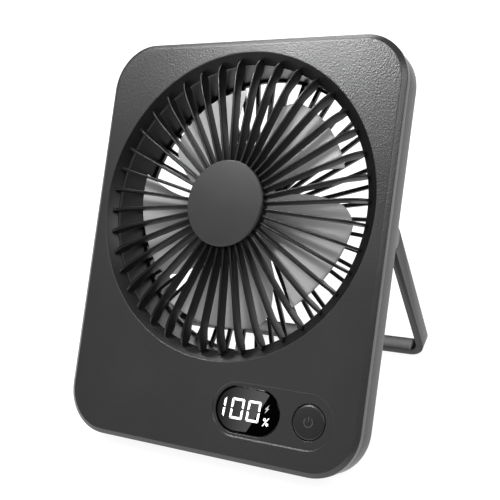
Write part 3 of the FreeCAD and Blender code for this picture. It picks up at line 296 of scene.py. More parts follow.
@dataclass(frozen=True)
class FanAxes:
    """The fan's leaning axes: across the face, into the body, and up the face.

    The origin is the middle of the face.  Places are in millimetres.
    """

    origin: Vector
    depth: Vector
    up: Vector
    fan_height: float

    @classmethod
    def from_frame(cls) -> "FanAxes":
        """Work the axes out from the fan's joint and the front shell."""
        spin = next(joint for joint in frame["joints"] if joint["name"] == "fan_spin")
        depth = Vector(spin["axis"]).normalized()
        up = Vector((0.0, -depth.z, depth.y))
        corners = [vertex.co for vertex in frame["nodes"]["front_shell"].data.vertices]
        face = min(corner.dot(depth) for corner in corners)
        heights = [corner.dot(up) for corner in corners]
        middle = (min(heights) + max(heights)) / 2
        origin = depth * face + up * middle
        fan_height = (Vector(spin["pos_m"]) - origin).dot(up) / MM
        return cls(origin, depth, up, fan_height)

    def point(self, across: float, depth: float, height: float) -> Vector:
        """Return the place in the frame, in metres."""
        return (self.origin + Vector((across * MM, 0, 0)) + self.depth * (depth * MM)
                + self.up * (height * MM))

    def direction(self, across: float, depth: float, height: float) -> Vector:
        """Return a direction of these axes in the frame."""
        return (Vector((across, 0, 0)) + self.depth * depth + self.up * height).normalized()


AXES = FanAxes.from_frame()


def fillet_path(corners: Sequence[tuple[float, float, float]], steps: int = 4) -> list[Point]:
    """Round the corners of an open path.

    Args:
        corners: Each corner with its radius; the radius of the two ends isn't used.
        steps: Straight pieces for each rounded corner.

    Returns:
        The points of the path.
    """
    path = [Vector(corners[0][:2])]
    for before, here, after in zip(corners, corners[1:], corners[2:]):
        corner = Vector(here[:2])
        into = (corner - Vector(before[:2])).normalized()
        out = (Vector(after[:2]) - corner).normalized()
        turn = into.angle(out, 0.0)
        if here[2] <= 0 or turn < 0.001:
            path.append(corner)
            continue
        back = here[2] * math.tan(turn / 2)
        for step in range(steps + 1):
            share = step / steps
            first = corner - into * back * (1 - share)
            second = corner + out * back * share
            path.append(first.lerp(second, share))
    path.append(Vector(corners[-1][:2]))
    return [(point.x, point.y) for point in path]


def circle(radius: float, across: float, height: float, count: int = 160) -> list[Point]:
    """Return the points of a circle on the face."""
    return [(across + radius * math.cos(2 * math.pi * step / count),
             height + radius * math.sin(2 * math.pi * step / count)) for step in range(count)]


def rounded_rectangle(half_width: float, half_height: float, corner: float, steps: int = 14) -> list[Point]:
    """Return the points of a rounded rectangle about the middle of the face."""
    points = []
    for quarter, (side, level) in enumerate([(1, 1), (-1, 1), (-1, -1), (1, -1)]):
        centre = Vector((side * (half_width - corner), level * (half_height - corner)))
        for step in range(steps + 1):
            angle = (quarter + step / steps) * math.pi / 2
            points.append((centre.x + corner * math.cos(angle), centre.y + corner * math.sin(angle)))
    return points


def stadium(centre: float, width: float, height: float, level: float, grow: float = 0.0,
            steps: int = 24) -> list[Point]:
    """Return the points of a slot with round ends, level with the controls."""
    radius = height / 2 + grow
    reach = (width - height) / 2
    points = []
    for side, start in ((1, -math.pi / 2), (-1, math.pi / 2)):
        for step in range(steps + 1):
            angle = start + math.pi * step / steps
            across = centre + side * reach + radius * math.cos(angle)
            points.append((across, level + radius * math.sin(angle)))
    return points


class Draft:
    """Vertices and faces of one piece, gathered in the fan's own axes and millimetres."""

    def __init__(self) -> None:
        """Start with nothing."""
        self.points: list[tuple[float, float, float]] = []
        self.faces: list[tuple[int, ...]] = []

    def loop(self, outline: Iterable[Point], depth: float) -> list[int]:
        """Add an outline at one depth and return its vertex numbers."""
        return self.path((across, depth, height) for across, height in outline)

    def path(self, points: Iterable[Sequence[float]]) -> list[int]:
        """Add points and return their vertex numbers."""
        start = len(self.points)
        self.points.extend((point[0], point[1], point[2]) for point in points)
        return list(range(start, len(self.points)))

    def bridge(self, first: list[int], second: list[int], closed: bool = True) -> None:
        """Join two loops of equal length with a strip of faces."""
        count = len(first)
        for index in range(count if closed else count - 1):
            after = (index + 1) % count
            self.faces.append((first[index], first[after], second[after], second[index]))

    def skin(self, loops: Sequence[list[int]], closed: bool = True, ring: bool = False) -> None:
        """Join neighbouring loops, and the last with the first if they form a ring."""
        for first, second in zip(loops, loops[1:]):
            self.bridge(first, second, closed)
        if ring:
            self.bridge(loops[-1], loops[0], closed)

    def cap(self, loop: list[int]) -> None:
        """Close a loop with one face."""
        self.faces.append(tuple(loop))

    def sheet(self, outer: list[int], holes: Sequence[list[int]]) -> None:
        """Fill the flat space between an outer loop and its holes.

        Args:
            outer: Vertex numbers of the outer loop.
            holes: Vertex numbers of each hole's loop.
        """
        loops = [outer, *holes]
        numbers = [number for loop in loops for number in loop]
        flat = [Vector((self.points[number][0], self.points[number][2])) for number in numbers]
        edges = []
        start = 0
        for loop in loops:
            count = len(loop)
            edges.extend((start + step, start + (step + 1) % count) for step in range(count))
            start += count
        _, _, triangles, source, _, _ = delaunay_2d_cdt(flat, edges, [], 0, 1e-7)
        back = [entry[0] if entry else None for entry in source]
        outlines = [[flat[numbers.index(number)] for number in loop] for loop in loops]
        for triangle in triangles:
            given = [back[corner] for corner in triangle]
            if None in given:
                continue
            middle = sum((flat[corner] for corner in given), Vector((0, 0))) / 3
            if inside(middle, outlines[0]) and not any(inside(middle, hole) for hole in outlines[1:]):
                self.faces.append(tuple(numbers[corner] for corner in given))

    def lathe(self, profile: Sequence[Point], centre: Point, count: int = 160, closed: bool = True) -> None:
        """Turn a profile of radius and depth about an axis into the body.

        Args:
            profile: Points of radius and depth.
            centre: The axis on the face.
            count: Steps round the turn.
            closed: True if the profile is a closed outline.
        """
        loops = []
        ends = []
        for radius, depth in profile:
            if radius < 1e-6:
                ends.append((len(loops), depth))
                continue
            loops.append(self.loop(circle(radius, centre[0], centre[1], count), depth))
        self.skin(loops, ring=closed)
        for position, depth in ends:
            tip = self.path([(centre[0], depth, centre[1])])[0]
            rim = loops[0] if position == 0 else loops[-1]
            for step in range(len(rim)):
                self.faces.append((tip, rim[step], rim[(step + 1) % len(rim)]))

    def build(self, name: str, finish: "Finish | Glow", smooth_deg: float = 40.0) -> bpy.types.Object:
        """Make the object.

        Args:
            name: The piece's name.
            finish: Its material.
            smooth_deg: Edges sharper than this stay crisp.

        Returns:
            The new object, in the frame's axes and metres.
        """
        mesh = bpy.data.meshes.new(name)
        mesh.from_pydata([AXES.point(*point) for point in self.points], [], self.faces)
        shape = bmesh.new()
        shape.from_mesh(mesh)
        bmesh.ops.remove_doubles(shape, verts=shape.verts, dist=1e-7)
        bmesh.ops.recalc_face_normals(shape, faces=shape.faces)
        shape.to_mesh(mesh)
        shape.free()
        mesh.shade_smooth()
        mesh.set_sharp_from_angle(angle=math.radians(smooth_deg))
        mesh.materials.append(finish.build())
        piece = bpy.data.objects.new(name, mesh)
        bpy.context.scene.collection.objects.link(piece)
        return piece


def inside(point: Vector, outline: Sequence[Vector]) -> bool:
    """Return True if a flat point lies inside a closed outline."""
    found = False
    for here, after in zip(outline, [*outline[1:], outline[0]]):
        if (here.y > point.y) == (after.y > point.y):
            continue
        crossing = here.x + (point.y - here.y) / (after.y - here.y) * (after.x - here.x)
        if point.x < crossing:
            found = not found
    return found


def turned(point: Sequence[float], degrees: float) -> tuple[float, float, float]:
    """Turn a point about the fan's axis, counterclockwise seen from the front."""
    across, depth, height = point
    cosine, sine = math.cos(math.radians(degrees)), math.sin(math.radians(degrees))
    return (across * cosine - height * sine, depth, across * sine + height * cosine + AXES.fan_height)


def place_piece(piece: bpy.types.Object, body: str, slot: str, *nodes: str) -> bpy.types.Object:
    """Hang a new piece on its body and let it stand for CAD nodes.

    Args:
        piece: The new piece.
        body: The CAD body that it moves with.
        slot: Not used.
        nodes: CAD nodes that it stands for.

    Returns:
        The piece.
    """
    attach(piece, body)
    if nodes:
        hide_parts(*nodes)
    LOG.info("%s: %d faces", piece.name, len(piece.data.polygons))
    return piece


def softened_copy(node: str, name: str, finish: Finish, width_mm: float,
                  segments: int = 2) -> bpy.types.Object:
    """Copy a CAD node with every sharp edge rounded, as a mould leaves it.

    Args:
        node: The CAD node.
        name: The new piece's name.
        finish: Its material.
        width_mm: How far the rounding reaches from each edge.
        segments: Steps across the rounding.

    Returns:
        The new object.
    """
    mesh = frame["nodes"][node].data.copy()
    mesh.name = name
    shape = bmesh.new()
    shape.from_mesh(mesh)
    bmesh.ops.remove_doubles(shape, verts=shape.verts, dist=2e-6)
    bmesh.ops.dissolve_limit(shape, angle_limit=math.radians(0.6), verts=shape.verts, edges=shape.edges)
    shape.to_mesh(mesh)
    shape.free()
    mesh.materials.clear()
    mesh.materials.append(finish.build())
    piece = bpy.data.objects.new(name, mesh)
    bpy.context.scene.collection.objects.link(piece)
    rounding = piece.modifiers.new("edges", "BEVEL")
    rounding.width = width_mm * MM
    rounding.segments = segments
    rounding.limit_method = "ANGLE"
    rounding.angle_limit = math.radians(28)
    rounding.use_clamp_overlap = True
    ready = bpy.context.evaluated_depsgraph_get()
    finished = bpy.data.meshes.new_from_object(piece.evaluated_get(ready))
    piece.modifiers.clear()
    piece.data = finished
    bpy.data.meshes.remove(mesh)
    finished.name = name
    finished.shade_smooth()
    finished.set_sharp_from_angle(angle=math.radians(35))
    return piece


# ---------------------------------------------------------------------------------------------
# Casing
# ---------------------------------------------------------------------------------------------

@dataclass
class Casing:
    """Front and rear shells with their feet."""

    half_width: float = 73.0
    half_height: float = 90.0
    corner: float = 20.5
    rim_width: float = 2.06
    rim_drop: float = 1.29
    wall_end: float = 4.0
    wall: float = 1.8
    plate: float = 2.5
    opening_radius: float = 66.95
    pod_centre: float = 33.2
    pod_width: float = 56.2
    pod_height: float = 22.7
    pod_level: float = -68.3
    pod_sink: float = 0.45
    window_centre: float = 21.8
    window_width: float = 30.9
    window_height: float = 19.8
    button_centre: float = 50.4
    button_hole: float = 7.5
    edge: float = 0.25
    post_inset: float = 10.5
    post_radius: float = 3.2
    pilot_radius: float = 1.0
    post_end: float = 13.1

    def rim_loop(self, inset: float) -> list[Point]:
        """Return the face's outline, moved in by an inset."""
        return rounded_rectangle(self.half_width - inset, self.half_height - inset, self.corner - inset)

    def holes(self, draft: Draft, depth: float, grow: float) -> list[list[int]]:
        """Add the window and button openings at one depth."""
        window = stadium(self.window_centre, self.window_width, self.window_height, self.pod_level, grow)
        button = circle(self.button_hole + grow, self.button_centre, self.pod_level, 96)
        return [draft.loop(window, depth), draft.loop(button, depth)]

    def build_front(self) -> None:
        """Front shell: rounded rim, flat face, fan opening and the shallow control recess."""
        draft = Draft()
        rim = fillet_path([
            (self.rim_width + 0.9, 0.0, 0), (self.rim_width, 0.0, 0.7), (0.0, self.rim_drop, 0.4),
            (0.0, self.wall_end, self.edge * 0.6), (self.wall, self.wall_end, 0),
            (self.wall, self.plate, 0)], 5)
        loops = [draft.loop(self.rim_loop(inset), depth) for inset, depth in rim]
        draft.skin(loops)
        mouth_edge = fillet_path([(self.opening_radius + 0.8, 0.0, 0), (self.opening_radius, 0.0, 0.4),
                                  (self.opening_radius, self.plate, 0)])
        opening = [draft.loop(circle(radius, 0, AXES.fan_height, 200), depth) for radius, depth in mouth_edge]
        draft.skin(opening)
        pod_edge = fillet_path([(0.55, 0.0, 0), (0.2, 0.0, self.edge), (-0.2, self.pod_sink, self.edge),
                                (-0.7, self.pod_sink, 0)])
        lip = [draft.loop(stadium(self.pod_centre, self.pod_width, self.pod_height, self.pod_level, grow),
                          depth) for grow, depth in pod_edge]
        draft.skin(lip)
        draft.sheet(loops[0], [opening[0], lip[0]])
        mouth = [self.holes(draft, depth, grow) for grow, depth in fillet_path([
            (0.5, self.pod_sink, 0), (0.0, self.pod_sink, self.edge), (0.0, self.plate, 0)])]
        for kind in range(2):
            draft.skin([hole[kind] for hole in mouth])
        draft.sheet(lip[-1], mouth[0])
        draft.sheet(loops[-1], [opening[-1], *mouth[-1]])
        for side in (1, -1):
            for level in (1, -1):
                centre = (side * (self.half_width - self.post_inset),
                          level * (self.half_height - self.post_inset))
                draft.lathe([(self.pilot_radius, self.plate + 2), (self.pilot_radius, self.post_end),
                             (self.post_radius, self.post_end), (self.post_radius, self.plate),
                             (self.pilot_radius, self.plate)], centre, 40)
        place_piece(draft.build("front_shell_skin", CASING_ABS), "body", "casing", "front_shell")

    def build_rear(self) -> None:
        """Rear shell and the pads under it, with moulded edges."""
        place_piece(softened_copy("rear_shell", "rear_shell_skin", CASING_ABS, 0.22), "body", "casing",
                    "rear_shell")
        place_piece(softened_copy("body_feet", "body_feet_skin", FOOT_SILICONE, 0.4, 3), "body", "rubber",
                    "body_feet")

    def build(self) -> None:
        """Build both shells."""
        self.build_front()
        self.build_rear()


# ---------------------------------------------------------------------------------------------
# Air path
# ---------------------------------------------------------------------------------------------

@dataclass
class FrontGrille:
    """Sunk ring, arched ribs and the capped plate in their middle."""

    ring_outer: float = 66.9
    ring_inner: float = 62.4
    seat_drop: float = 3.0
    ring_thickness: float = 1.6
    hub_radius: float = 17.6
    cap_radius: float = 18.7
    cap_thickness: float = 2.0
    rib_count: int = 40
    rib_width: float = 1.05
    rib_root_width: float = 1.3
    rib_rise: float = 3.2
    rib_back: float = 1.8
    rib_shoulder: float = 13.5

    def rib_edges(self) -> list[tuple[float, float, float]]:
        """Return radius, front depth and back depth at stations along a rib."""
        seat_radius = self.ring_inner + (self.ring_outer - self.ring_inner) * 0.48
        seat_depth = self.seat_drop * 0.52
        start = seat_radius - self.rib_shoulder
        front = -self.rib_rise
        poles = [Vector((start, front)), Vector((seat_radius - 4.5, front + 0.15)),
                 Vector((seat_radius - 0.6, seat_depth - 2.4)), Vector((seat_radius, seat_depth))]
        tuck = self.ring_inner - 1.5
        stations = [(self.hub_radius - 1.0 + (start - self.hub_radius + 1.0) * step / 6, front, self.rib_back)
                    for step in range(7)]
        for step in range(1, 17):
            share = step / 16
            rest = 1 - share
            weights = [rest ** 3, 3 * share * rest ** 2, 3 * share ** 2 * rest, share ** 3]
            spot = sum((pole * weight for pole, weight in zip(poles, weights)), Vector((0, 0)))
            sink = min(1.0, max(0.0, (spot.x - tuck + 8.0) / 8.0))
            back = self.rib_back + (self.seat_drop + 1.0 - self.rib_back) * sink * sink * (3 - 2 * sink)
            stations.append((spot.x, spot.y, max(back, spot.y + 0.2)))
        return stations

    def rib_section(self, front: float, back: float) -> list[Point]:
        """Return half width and depth round one rib section with a rounded front edge."""
        half = self.rib_width / 2
        root = self.rib_root_width / 2
        room = min(0.34, (back - front) * 0.45)
        right = fillet_path([(0.0, front, 0), (half, front, room), (root, back, 0.15), (0.0, back, 0)], 3)
        left = [(-across, depth) for across, depth in reversed(right[1:-1])]
        return right + left

    def build_ribs(self, draft: Draft) -> None:
        """Add every rib."""
        stations = self.rib_edges()
        for number in range(self.rib_count):
            degrees = 360 * (number + 0.5) / self.rib_count
            loops = []
            for radius, front, back in stations:
                loops.append(draft.path(turned((radius, depth, across), degrees)
                                        for across, depth in self.rib_section(front, back)))
            draft.skin(loops)
            draft.cap(loops[0])
            draft.cap(loops[-1])

    def build(self) -> None:
        """Build the grille and its cap."""
        draft = Draft()
        centre = (0.0, AXES.fan_height)
        bottom = self.seat_drop + self.ring_thickness
        draft.lathe(fillet_path([(self.ring_outer, bottom, 0), (self.ring_outer, 0.15, 0),
                                 (self.ring_inner, self.seat_drop, 0.5), (self.ring_inner, bottom, 0),
                                 (self.ring_outer - 0.01, bottom, 0)]), centre, 200)
        draft.lathe(fillet_path([(0.0, self.rib_back, 0), (self.hub_radius, self.rib_back, 0.4),
                                 (self.hub_radius, -self.rib_rise, 0.2), (0.0, -self.rib_rise, 0)]),
                    centre, 120, closed=False)
        self.build_ribs(draft)
        place_piece(draft.build("front_grille_ribs", GRILLE_ABS), "body", "grille", "front_grille")
        cap = Draft()
        front = -self.rib_rise - self.cap_thickness
        cap.lathe(fillet_path([(0.0, -self.rib_rise, 0), (self.cap_radius - 0.3, -self.rib_rise, 0.1),
                               (self.cap_radius, front + 0.45, 0.3), (self.cap_radius - 0.5, front, 0.3),
                               (0.0, front, 0)], 5), centre, 160, closed=False)
        place_piece(cap.build("grille_cap_disc", CAP_ABS), "body", "grille_cap", "grille_cap")


@dataclass
class RearGrille:
    """Straight ribs between the outer ring and the motor plate."""

    front: float = 23.3
    back: float = 25.5
    ring_outer: float = 63.7
    ring_inner: float = 61.3
    plate_radius: float = 16.0
    rib_count: int = 48
    rib_width: float = 1.7
    rib_turn: float = 1.0
    screw_circle: float = 9.5
    screw_hole: float = 1.0

    def build(self) -> None:
        """Build the rear grille."""
        draft = Draft()
        centre = (0.0, AXES.fan_height)
        draft.lathe(fillet_path([(self.ring_outer, self.back, 0), (self.ring_outer, self.front, 0),
                                 (self.ring_inner, self.front, 0.35), (self.ring_inner, self.back, 0.35),
                                 (self.ring_outer - 0.01, self.back, 0)]), centre, 200)
        plate = [draft.loop(circle(radius, *centre, 120), depth) for radius, depth in fillet_path([
            (self.plate_radius - 1, self.front, 0), (self.plate_radius, self.front, 0.35),
            (self.plate_radius, self.back, 0.5), (self.plate_radius - 1, self.back, 0)])]
        draft.skin(plate)
        holes = []
        for number in range(3):
            spot = turned((self.screw_circle, 0, 0), -120 * number)
            rings = [draft.loop(circle(self.screw_hole, spot[0], spot[2], 24), depth)
                     for depth in (self.front, self.back)]
            draft.skin(rings)
            holes.append(rings)
        draft.sheet(plate[0], [rings[0] for rings in holes])
        draft.sheet(plate[-1], [rings[1] for rings in holes])
        half = self.rib_width / 2
        section = fillet_path([(0.0, self.front, 0), (half, self.front, 0.45), (half, self.back, 0.45),
                               (0.0, self.back, 0)], 3)
        section += [(-across, depth) for across, depth in reversed(section[1:-1])]
        for number in range(self.rib_count):
            degrees = self.rib_turn + 360 * number / self.rib_count
            loops = [draft.path(turned((radius, depth, across), degrees) for across, depth in section)
                     for radius in (self.plate_radius - 0.8, self.ring_inner + 0.6)]
            draft.skin(loops)
            draft.cap(loops[0])
            draft.cap(loops[1])
        place_piece(draft.build("rear_grille_ribs", GRILLE_ABS), "body", "grille", "rear_grille")


@dataclass
class Impeller:
    """Five wide swept blades on a cup that sits over the motor."""

    blade_count: int = 5
    tip_radius: float = 52.4
    front: float = 6.0
    back: float = 14.0
    thickness: float = 1.3
    camber: float = 1.2
    start_deg: float = 14.0
    hub_radius: float = 15.5
    hub_front: float = 3.6
    hub_back: float = 16.6
    hub_plate: float = 1.8
    bell_radius: float = 12.93
    # Distance from the axis, leading side and trailing side, as shares of the tip radius.
    plan: tuple[tuple[float, float, float], ...] = (
        (0.22, -0.10, 0.19), (0.40, -0.22, 0.27), (0.60, -0.37, 0.31),
        (0.80, -0.60, 0.31), (0.92, -0.74, 0.26), (1.02, -0.85, 0.12))
    chord_steps: int = 22
    span_steps: int = 20

    def side(self, distance: float, column: int) -> float:
        """Return where one side of the blade is, at a distance along its middle line.

        Args:
            distance: Share of the tip radius.
            column: 1 for the leading side, 2 for the trailing side.

        Returns:
            The share of the tip radius.
        """
        rows = self.plan
        last = len(rows) - 2
        index = max(0, min(last, sum(row[0] <= distance for row in rows) - 1))
        before, here, after, beyond = (rows[max(0, min(last + 1, index + step))] for step in (-1, 0, 1, 2))
        width = after[0] - here[0]
        share = (distance - here[0]) / width
        leave = (after[column] - before[column]) / (after[0] - before[0]) * width
        arrive = (beyond[column] - here[column]) / (beyond[0] - here[0]) * width
        square, cube = share ** 2, share ** 3
        return ((2 * cube - 3 * square + 1) * here[column] + (cube - 2 * square + share) * leave
                + (3 * square - 2 * cube) * after[column] + (cube - square) * arrive)

    def across_at(self, chord: float, radius: float) -> float:
        """Return the distance along the blade where a chord line crosses a radius."""
        low, high = 0.0, 1.05
        for _ in range(30):
            middle = (low + high) / 2
            lead, trail = self.side(middle, 1), self.side(middle, 2)
            level = lead + (trail - lead) * chord
            if math.hypot(middle, level) * self.tip_radius < radius:
                low = middle
            else:
                high = middle
        return low

    def blade_point(self, span: float, chord: float, face: int) -> tuple[float, float, float]:
        """Return a point of one blade's face before it is turned into place.

        Args:
            span: 0 at the hub to 1 at the tip.
            chord: 0 at the leading edge to 1 at the trailing edge.
            face: -1 for the front face, 1 for the back face.

        Returns:
            Across, depth and height in millimetres, about the fan's axis.
        """
        radius = self.hub_radius - 0.8 + (self.tip_radius - self.hub_radius + 0.8) * span
        distance = self.across_at(chord, radius)
        lead, trail = self.side(distance, 1), self.side(distance, 2)
        level = lead + (trail - lead) * chord
        edge = 1 - (2 * chord - 1) ** 6
        tip = min(1.0, (1 - span) / 0.02)
        half = self.thickness / 2 * (0.55 + 0.45 * math.sin(math.pi * chord)) * math.sqrt(max(0.0, edge))
        half *= math.sqrt(max(0.0, 1 - (1 - tip) ** 2))
        depth = self.front + (self.back - self.front) * chord - self.camber * math.sin(math.pi * chord)
        return (distance * self.tip_radius, depth + face * half, level * self.tip_radius)

    def build(self) -> None:
        """Build the impeller."""
        draft = Draft()
        centre = (0.0, AXES.fan_height)
        spans = [step / self.span_steps for step in range(self.span_steps)] + [0.985, 0.995, 1.0]
        chords = [(1 - math.cos(math.pi * step / self.chord_steps)) / 2
                  for step in range(self.chord_steps + 1)]
        for number in range(self.blade_count):
            degrees = -self.start_deg - 360 * number / self.blade_count
            loops = []
            for span in spans:
                front = [self.blade_point(span, chord, -1) for chord in chords]
                back = [self.blade_point(span, chord, 1) for chord in reversed(chords[1:-1])]
                loops.append(draft.path(turned(point, degrees) for point in front + back))
            draft.skin(loops)
            draft.cap(loops[0])
        inner = self.bell_radius
        draft.lathe(fillet_path([(0.0, self.hub_front, 0), (self.hub_radius, self.hub_front, 0.8),
                                 (self.hub_radius, self.hub_back, 0.3), (inner, self.hub_back, 0.2),
                                 (inner, self.hub_front + self.hub_plate, 0),
                                 (0.0, self.hub_front + self.hub_plate, 0)], 5), centre, 120, closed=False)
        place_piece(draft.build("impeller_blades", FAN_POLYPROPYLENE), "fan_wheel", "impeller", "impeller")


# ---------------------------------------------------------------------------------------------
# Controls
# ---------------------------------------------------------------------------------------------

@dataclass
class Controls:
    """Smoked display window with its lit marks, and the power button."""

    level: float = -68.3
    window_centre: float = 21.8
    window_width: float = 30.6
    window_height: float = 19.5
    window_front: float = 0.45
    window_thickness: float = 1.5
    mark_lift: float = 0.02
    digit_level: float = -68.0
    digit_height: float = 8.8
    digit_width: float = 6.1
    bar: float = 1.0
    bar_gap: float = 0.27
    slant: float = 0.07
    zero_centres: tuple[float, float] = (17.0, 24.9)
    one_centre: float = 8.2
    button_centre: float = 50.4
    button_radius: float = 7.15
    button_front: float = 0.1
    skirt_front: float = 2.7
    skirt: float = 0.9
    stem_radius: float = 2.6
    stem_end: float = 5.1
    sign_radius: float = 2.1
    sign_line: float = 0.35

    def build_window(self) -> None:
        """Build the window with a softly rounded edge."""
        draft = Draft()
        profile = fillet_path([(-1.2, self.window_front, 0), (0.0, self.window_front, 0.35),
                               (0.0, self.window_front + self.window_thickness, 0)], 5)
        loops = [draft.loop(stadium(self.window_centre, self.window_width, self.window_height, self.level,
                                    grow), depth) for grow, depth in profile]
        draft.skin(loops)
        draft.sheet(loops[0], [])
        draft.sheet(loops[-1], [])
        place_piece(draft.build("display_lens", LENS_ACRYLIC, 50), "body", "window", "display_window")

    def bars(self, on: str) -> list[list[Point]]:
        """Return the outlines of the lit bars of one digit, about its middle.

        Args:
            on: Letters of the lit bars, from a at the top, clockwise, to f at the top left.

        Returns:
            One outline for each bar.
        """
        half, tall, bar, gap = self.digit_width / 2, self.digit_height / 2, self.bar, self.bar_gap
        flat = [(-half + gap, tall), (half - gap, tall), (half - bar - gap, tall - bar),
                (-half + bar + gap, tall - bar)]
        upright = [(half, tall - gap), (half, gap), (half - bar * 0.5, gap), (half - bar, bar * 0.5 + gap),
                   (half - bar, tall - bar - gap)]
        shapes = {"a": flat, "d": [(x, -y) for x, y in flat], "b": upright,
                  "c": [(x, -y) for x, y in upright], "f": [(-x, y) for x, y in upright],
                  "e": [(-x, -y) for x, y in upright]}
        return [shapes[letter] for letter in on]

    def add_mark(self, draft: Draft, outline: Sequence[Point], centre: Point) -> None:
        """Add one flat lit mark just in front of the window, leaning to the right."""
        depth = self.window_front - self.mark_lift
        draft.cap(draft.loop([(centre[0] + x + y * self.slant, centre[1] + y) for x, y in outline], depth))

    def build_marks(self) -> None:
        """Build the digits, the charging bolt and the percent sign."""
        digits = Draft()
        for outline in self.bars("bc"):
            self.add_mark(digits, outline, (self.one_centre, self.digit_level))
        for centre in self.zero_centres:
            for outline in self.bars("abcdef"):
                self.add_mark(digits, outline, (centre, self.digit_level))
        percent = (31.2, -71.4)
        self.add_mark(digits, [(-1.45, -1.75), (-0.95, -1.75), (1.35, 1.75), (0.85, 1.75)], percent)
        for x, y in ((-0.75, 0.95), (0.75, -0.95)):
            rings = [digits.loop([(percent[0] + x + across + (y + up) * self.slant, percent[1] + y + up)
                                  for across, up in circle(radius, 0, 0, 20)],
                                 self.window_front - self.mark_lift) for radius in (0.62, 0.28)]
            digits.skin(rings)
        place_piece(digits.build("display_digits", DIGIT_GLOW), "body", "display")
        bolt = Draft()
        spark = [(0.75, 1.8), (-0.95, -0.15), (-0.15, -0.15), (-0.7, -1.8), (1.0, 0.3), (0.2, 0.3)]
        self.add_mark(bolt, spark, (31.0, -66.1))
        place_piece(bolt.build("display_bolt", SYMBOL_GLOW), "body", "display")

    def build_button(self) -> None:
        """Build the domed button with its skirt and stem, and the faint power sign."""
        draft = Draft()
        centre = (self.button_centre, self.level)
        radius = self.button_radius
        dome = [(0.0, self.button_front)]
        for step in range(1, 9):
            share = step / 8
            dome.append(((radius - 0.9) * share, self.button_front + 0.16 * share ** 2))
        front, skirt = self.button_front, self.skirt
        skirt_back, stem_end = self.skirt_front + skirt, self.stem_end
        dome += fillet_path([(radius - 0.85, front + 0.17, 0), (radius, front + 0.45, 0.6),
                             (radius, self.skirt_front, 0), (radius + skirt, self.skirt_front, 0.1),
                             (radius + skirt, skirt_back, 0.1), (self.stem_radius, skirt_back, 0),
                             (self.stem_radius, stem_end, 0), (0.0, stem_end, 0)], 4)
        draft.lathe(dome, centre, 120, closed=False)
        place_piece(draft.build("power_button_cap", BUTTON_ABS), "button", "button", "power_button")
        sign = Draft()
        lift = front - 0.01
        turns = [math.radians(128 + 284 * step / 28) for step in range(29)]
        sizes = (self.sign_radius - self.sign_line, self.sign_radius)
        rings = [sign.path((centre[0] + size * math.cos(turn), lift + 0.0035 * size * size,
                            centre[1] + size * math.sin(turn)) for turn in turns) for size in sizes]
        sign.skin(rings, closed=False)
        line = 0.17
        corners = [(-line, 0.0, 0.3), (line, 0.0, 0.3), (line, 0.005, 2.3), (-line, 0.005, 2.3)]
        sign.cap(sign.path((centre[0] + across, lift + depth, centre[1] + up)
                           for across, depth, up in corners))
        place_piece(sign.build("power_sign", SIGN_INK), "button", "button")

    def build(self) -> None:
        """Build every control."""
        self.build_window()
        self.build_marks()
        self.build_button()


# ---------------------------------------------------------------------------------------------
# Stand and carried-over parts
# ---------------------------------------------------------------------------------------------

@dataclass
class Stand:
    """Folding bail with its pad."""

    edge_mm: float = 0.45
    pad_edge_mm: float = 0.4

    def build(self) -> None:
        """Build the bail and its pad with moulded edges."""
        strap = softened_copy("stand_bail", "stand_bail_strap", BAIL_NYLON, self.edge_mm, 3)
        place_piece(strap, "stand", "bail", "stand_bail")
        pad = softened_copy("bail_foot", "bail_foot_pad", FOOT_SILICONE, self.pad_edge_mm, 3)
        place_piece(pad, "stand", "rubber", "bail_foot")


CARRIED_OVER: dict[str, Finish] = {
    "air_duct": DUCT_POLYCARBONATE, "motor_base": CAST_ZINC, "front_bearing": BRIGHT_STEEL,
    "rear_bearing": BRIGHT_STEEL, "stator_core": BRIGHT_STEEL, "stator_windings": COPPER_WIRE,
    "rotor_bell": BRIGHT_STEEL, "rotor_magnet": SINTERED_MAGNET, "motor_shaft": BRIGHT_STEEL,
    "shaft_clip": BLACK_STEEL, "display_module": SWITCH_NYLON, "switch_plunger": SWITCH_NYLON,
    "main_board": BOARD_LAMINATE, "tact_switch": BRIGHT_STEEL, "usb_socket": BRIGHT_STEEL,
    "charge_board": BOARD_LAMINATE, "battery_cell": BATTERY_WRAP, "battery_pad": PAD_FOAM,
    "battery_leads": LEAD_VINYL, "charge_leads": LEAD_VINYL, "motor_ribbon": RIBBON_VINYL,
    "casing_screws": BLACK_STEEL, "board_screws": BLACK_STEEL, "motor_screws": BLACK_STEEL,
    "hinge_pins": BRIGHT_STEEL,
}


def dress_carried_over() -> None:
    """Give every CAD node that still shows its finish."""
    for node, finish in CARRIED_OVER.items():
        item = frame["nodes"][node]
        item.data.materials.clear()
        item.data.materials.append(finish.build())
        LOG.info("%s: %s", node, finish.name)


# ---------------------------------------------------------------------------------------------
# Studio
# ---------------------------------------------------------------------------------------------

def flat_piece(name: str, corners: Sequence[Sequence[float]]) -> bpy.types.Object:
    """Make a flat four-cornered piece of the studio, in metres."""
    mesh = bpy.data.meshes.new(name)
    mesh.from_pydata(corners, [], [(0, 1, 2, 3)])
    piece = bpy.data.objects.new(name, mesh)
    bpy.context.scene.collection.objects.link(piece)
    return piece


def new_tree(name: str, piece: bpy.types.Object) -> bpy.types.NodeTree:
    """Give a studio piece an empty material and return its node tree."""
    material = empty_material(name)
    piece.data.materials.append(material)
    return material.node_tree


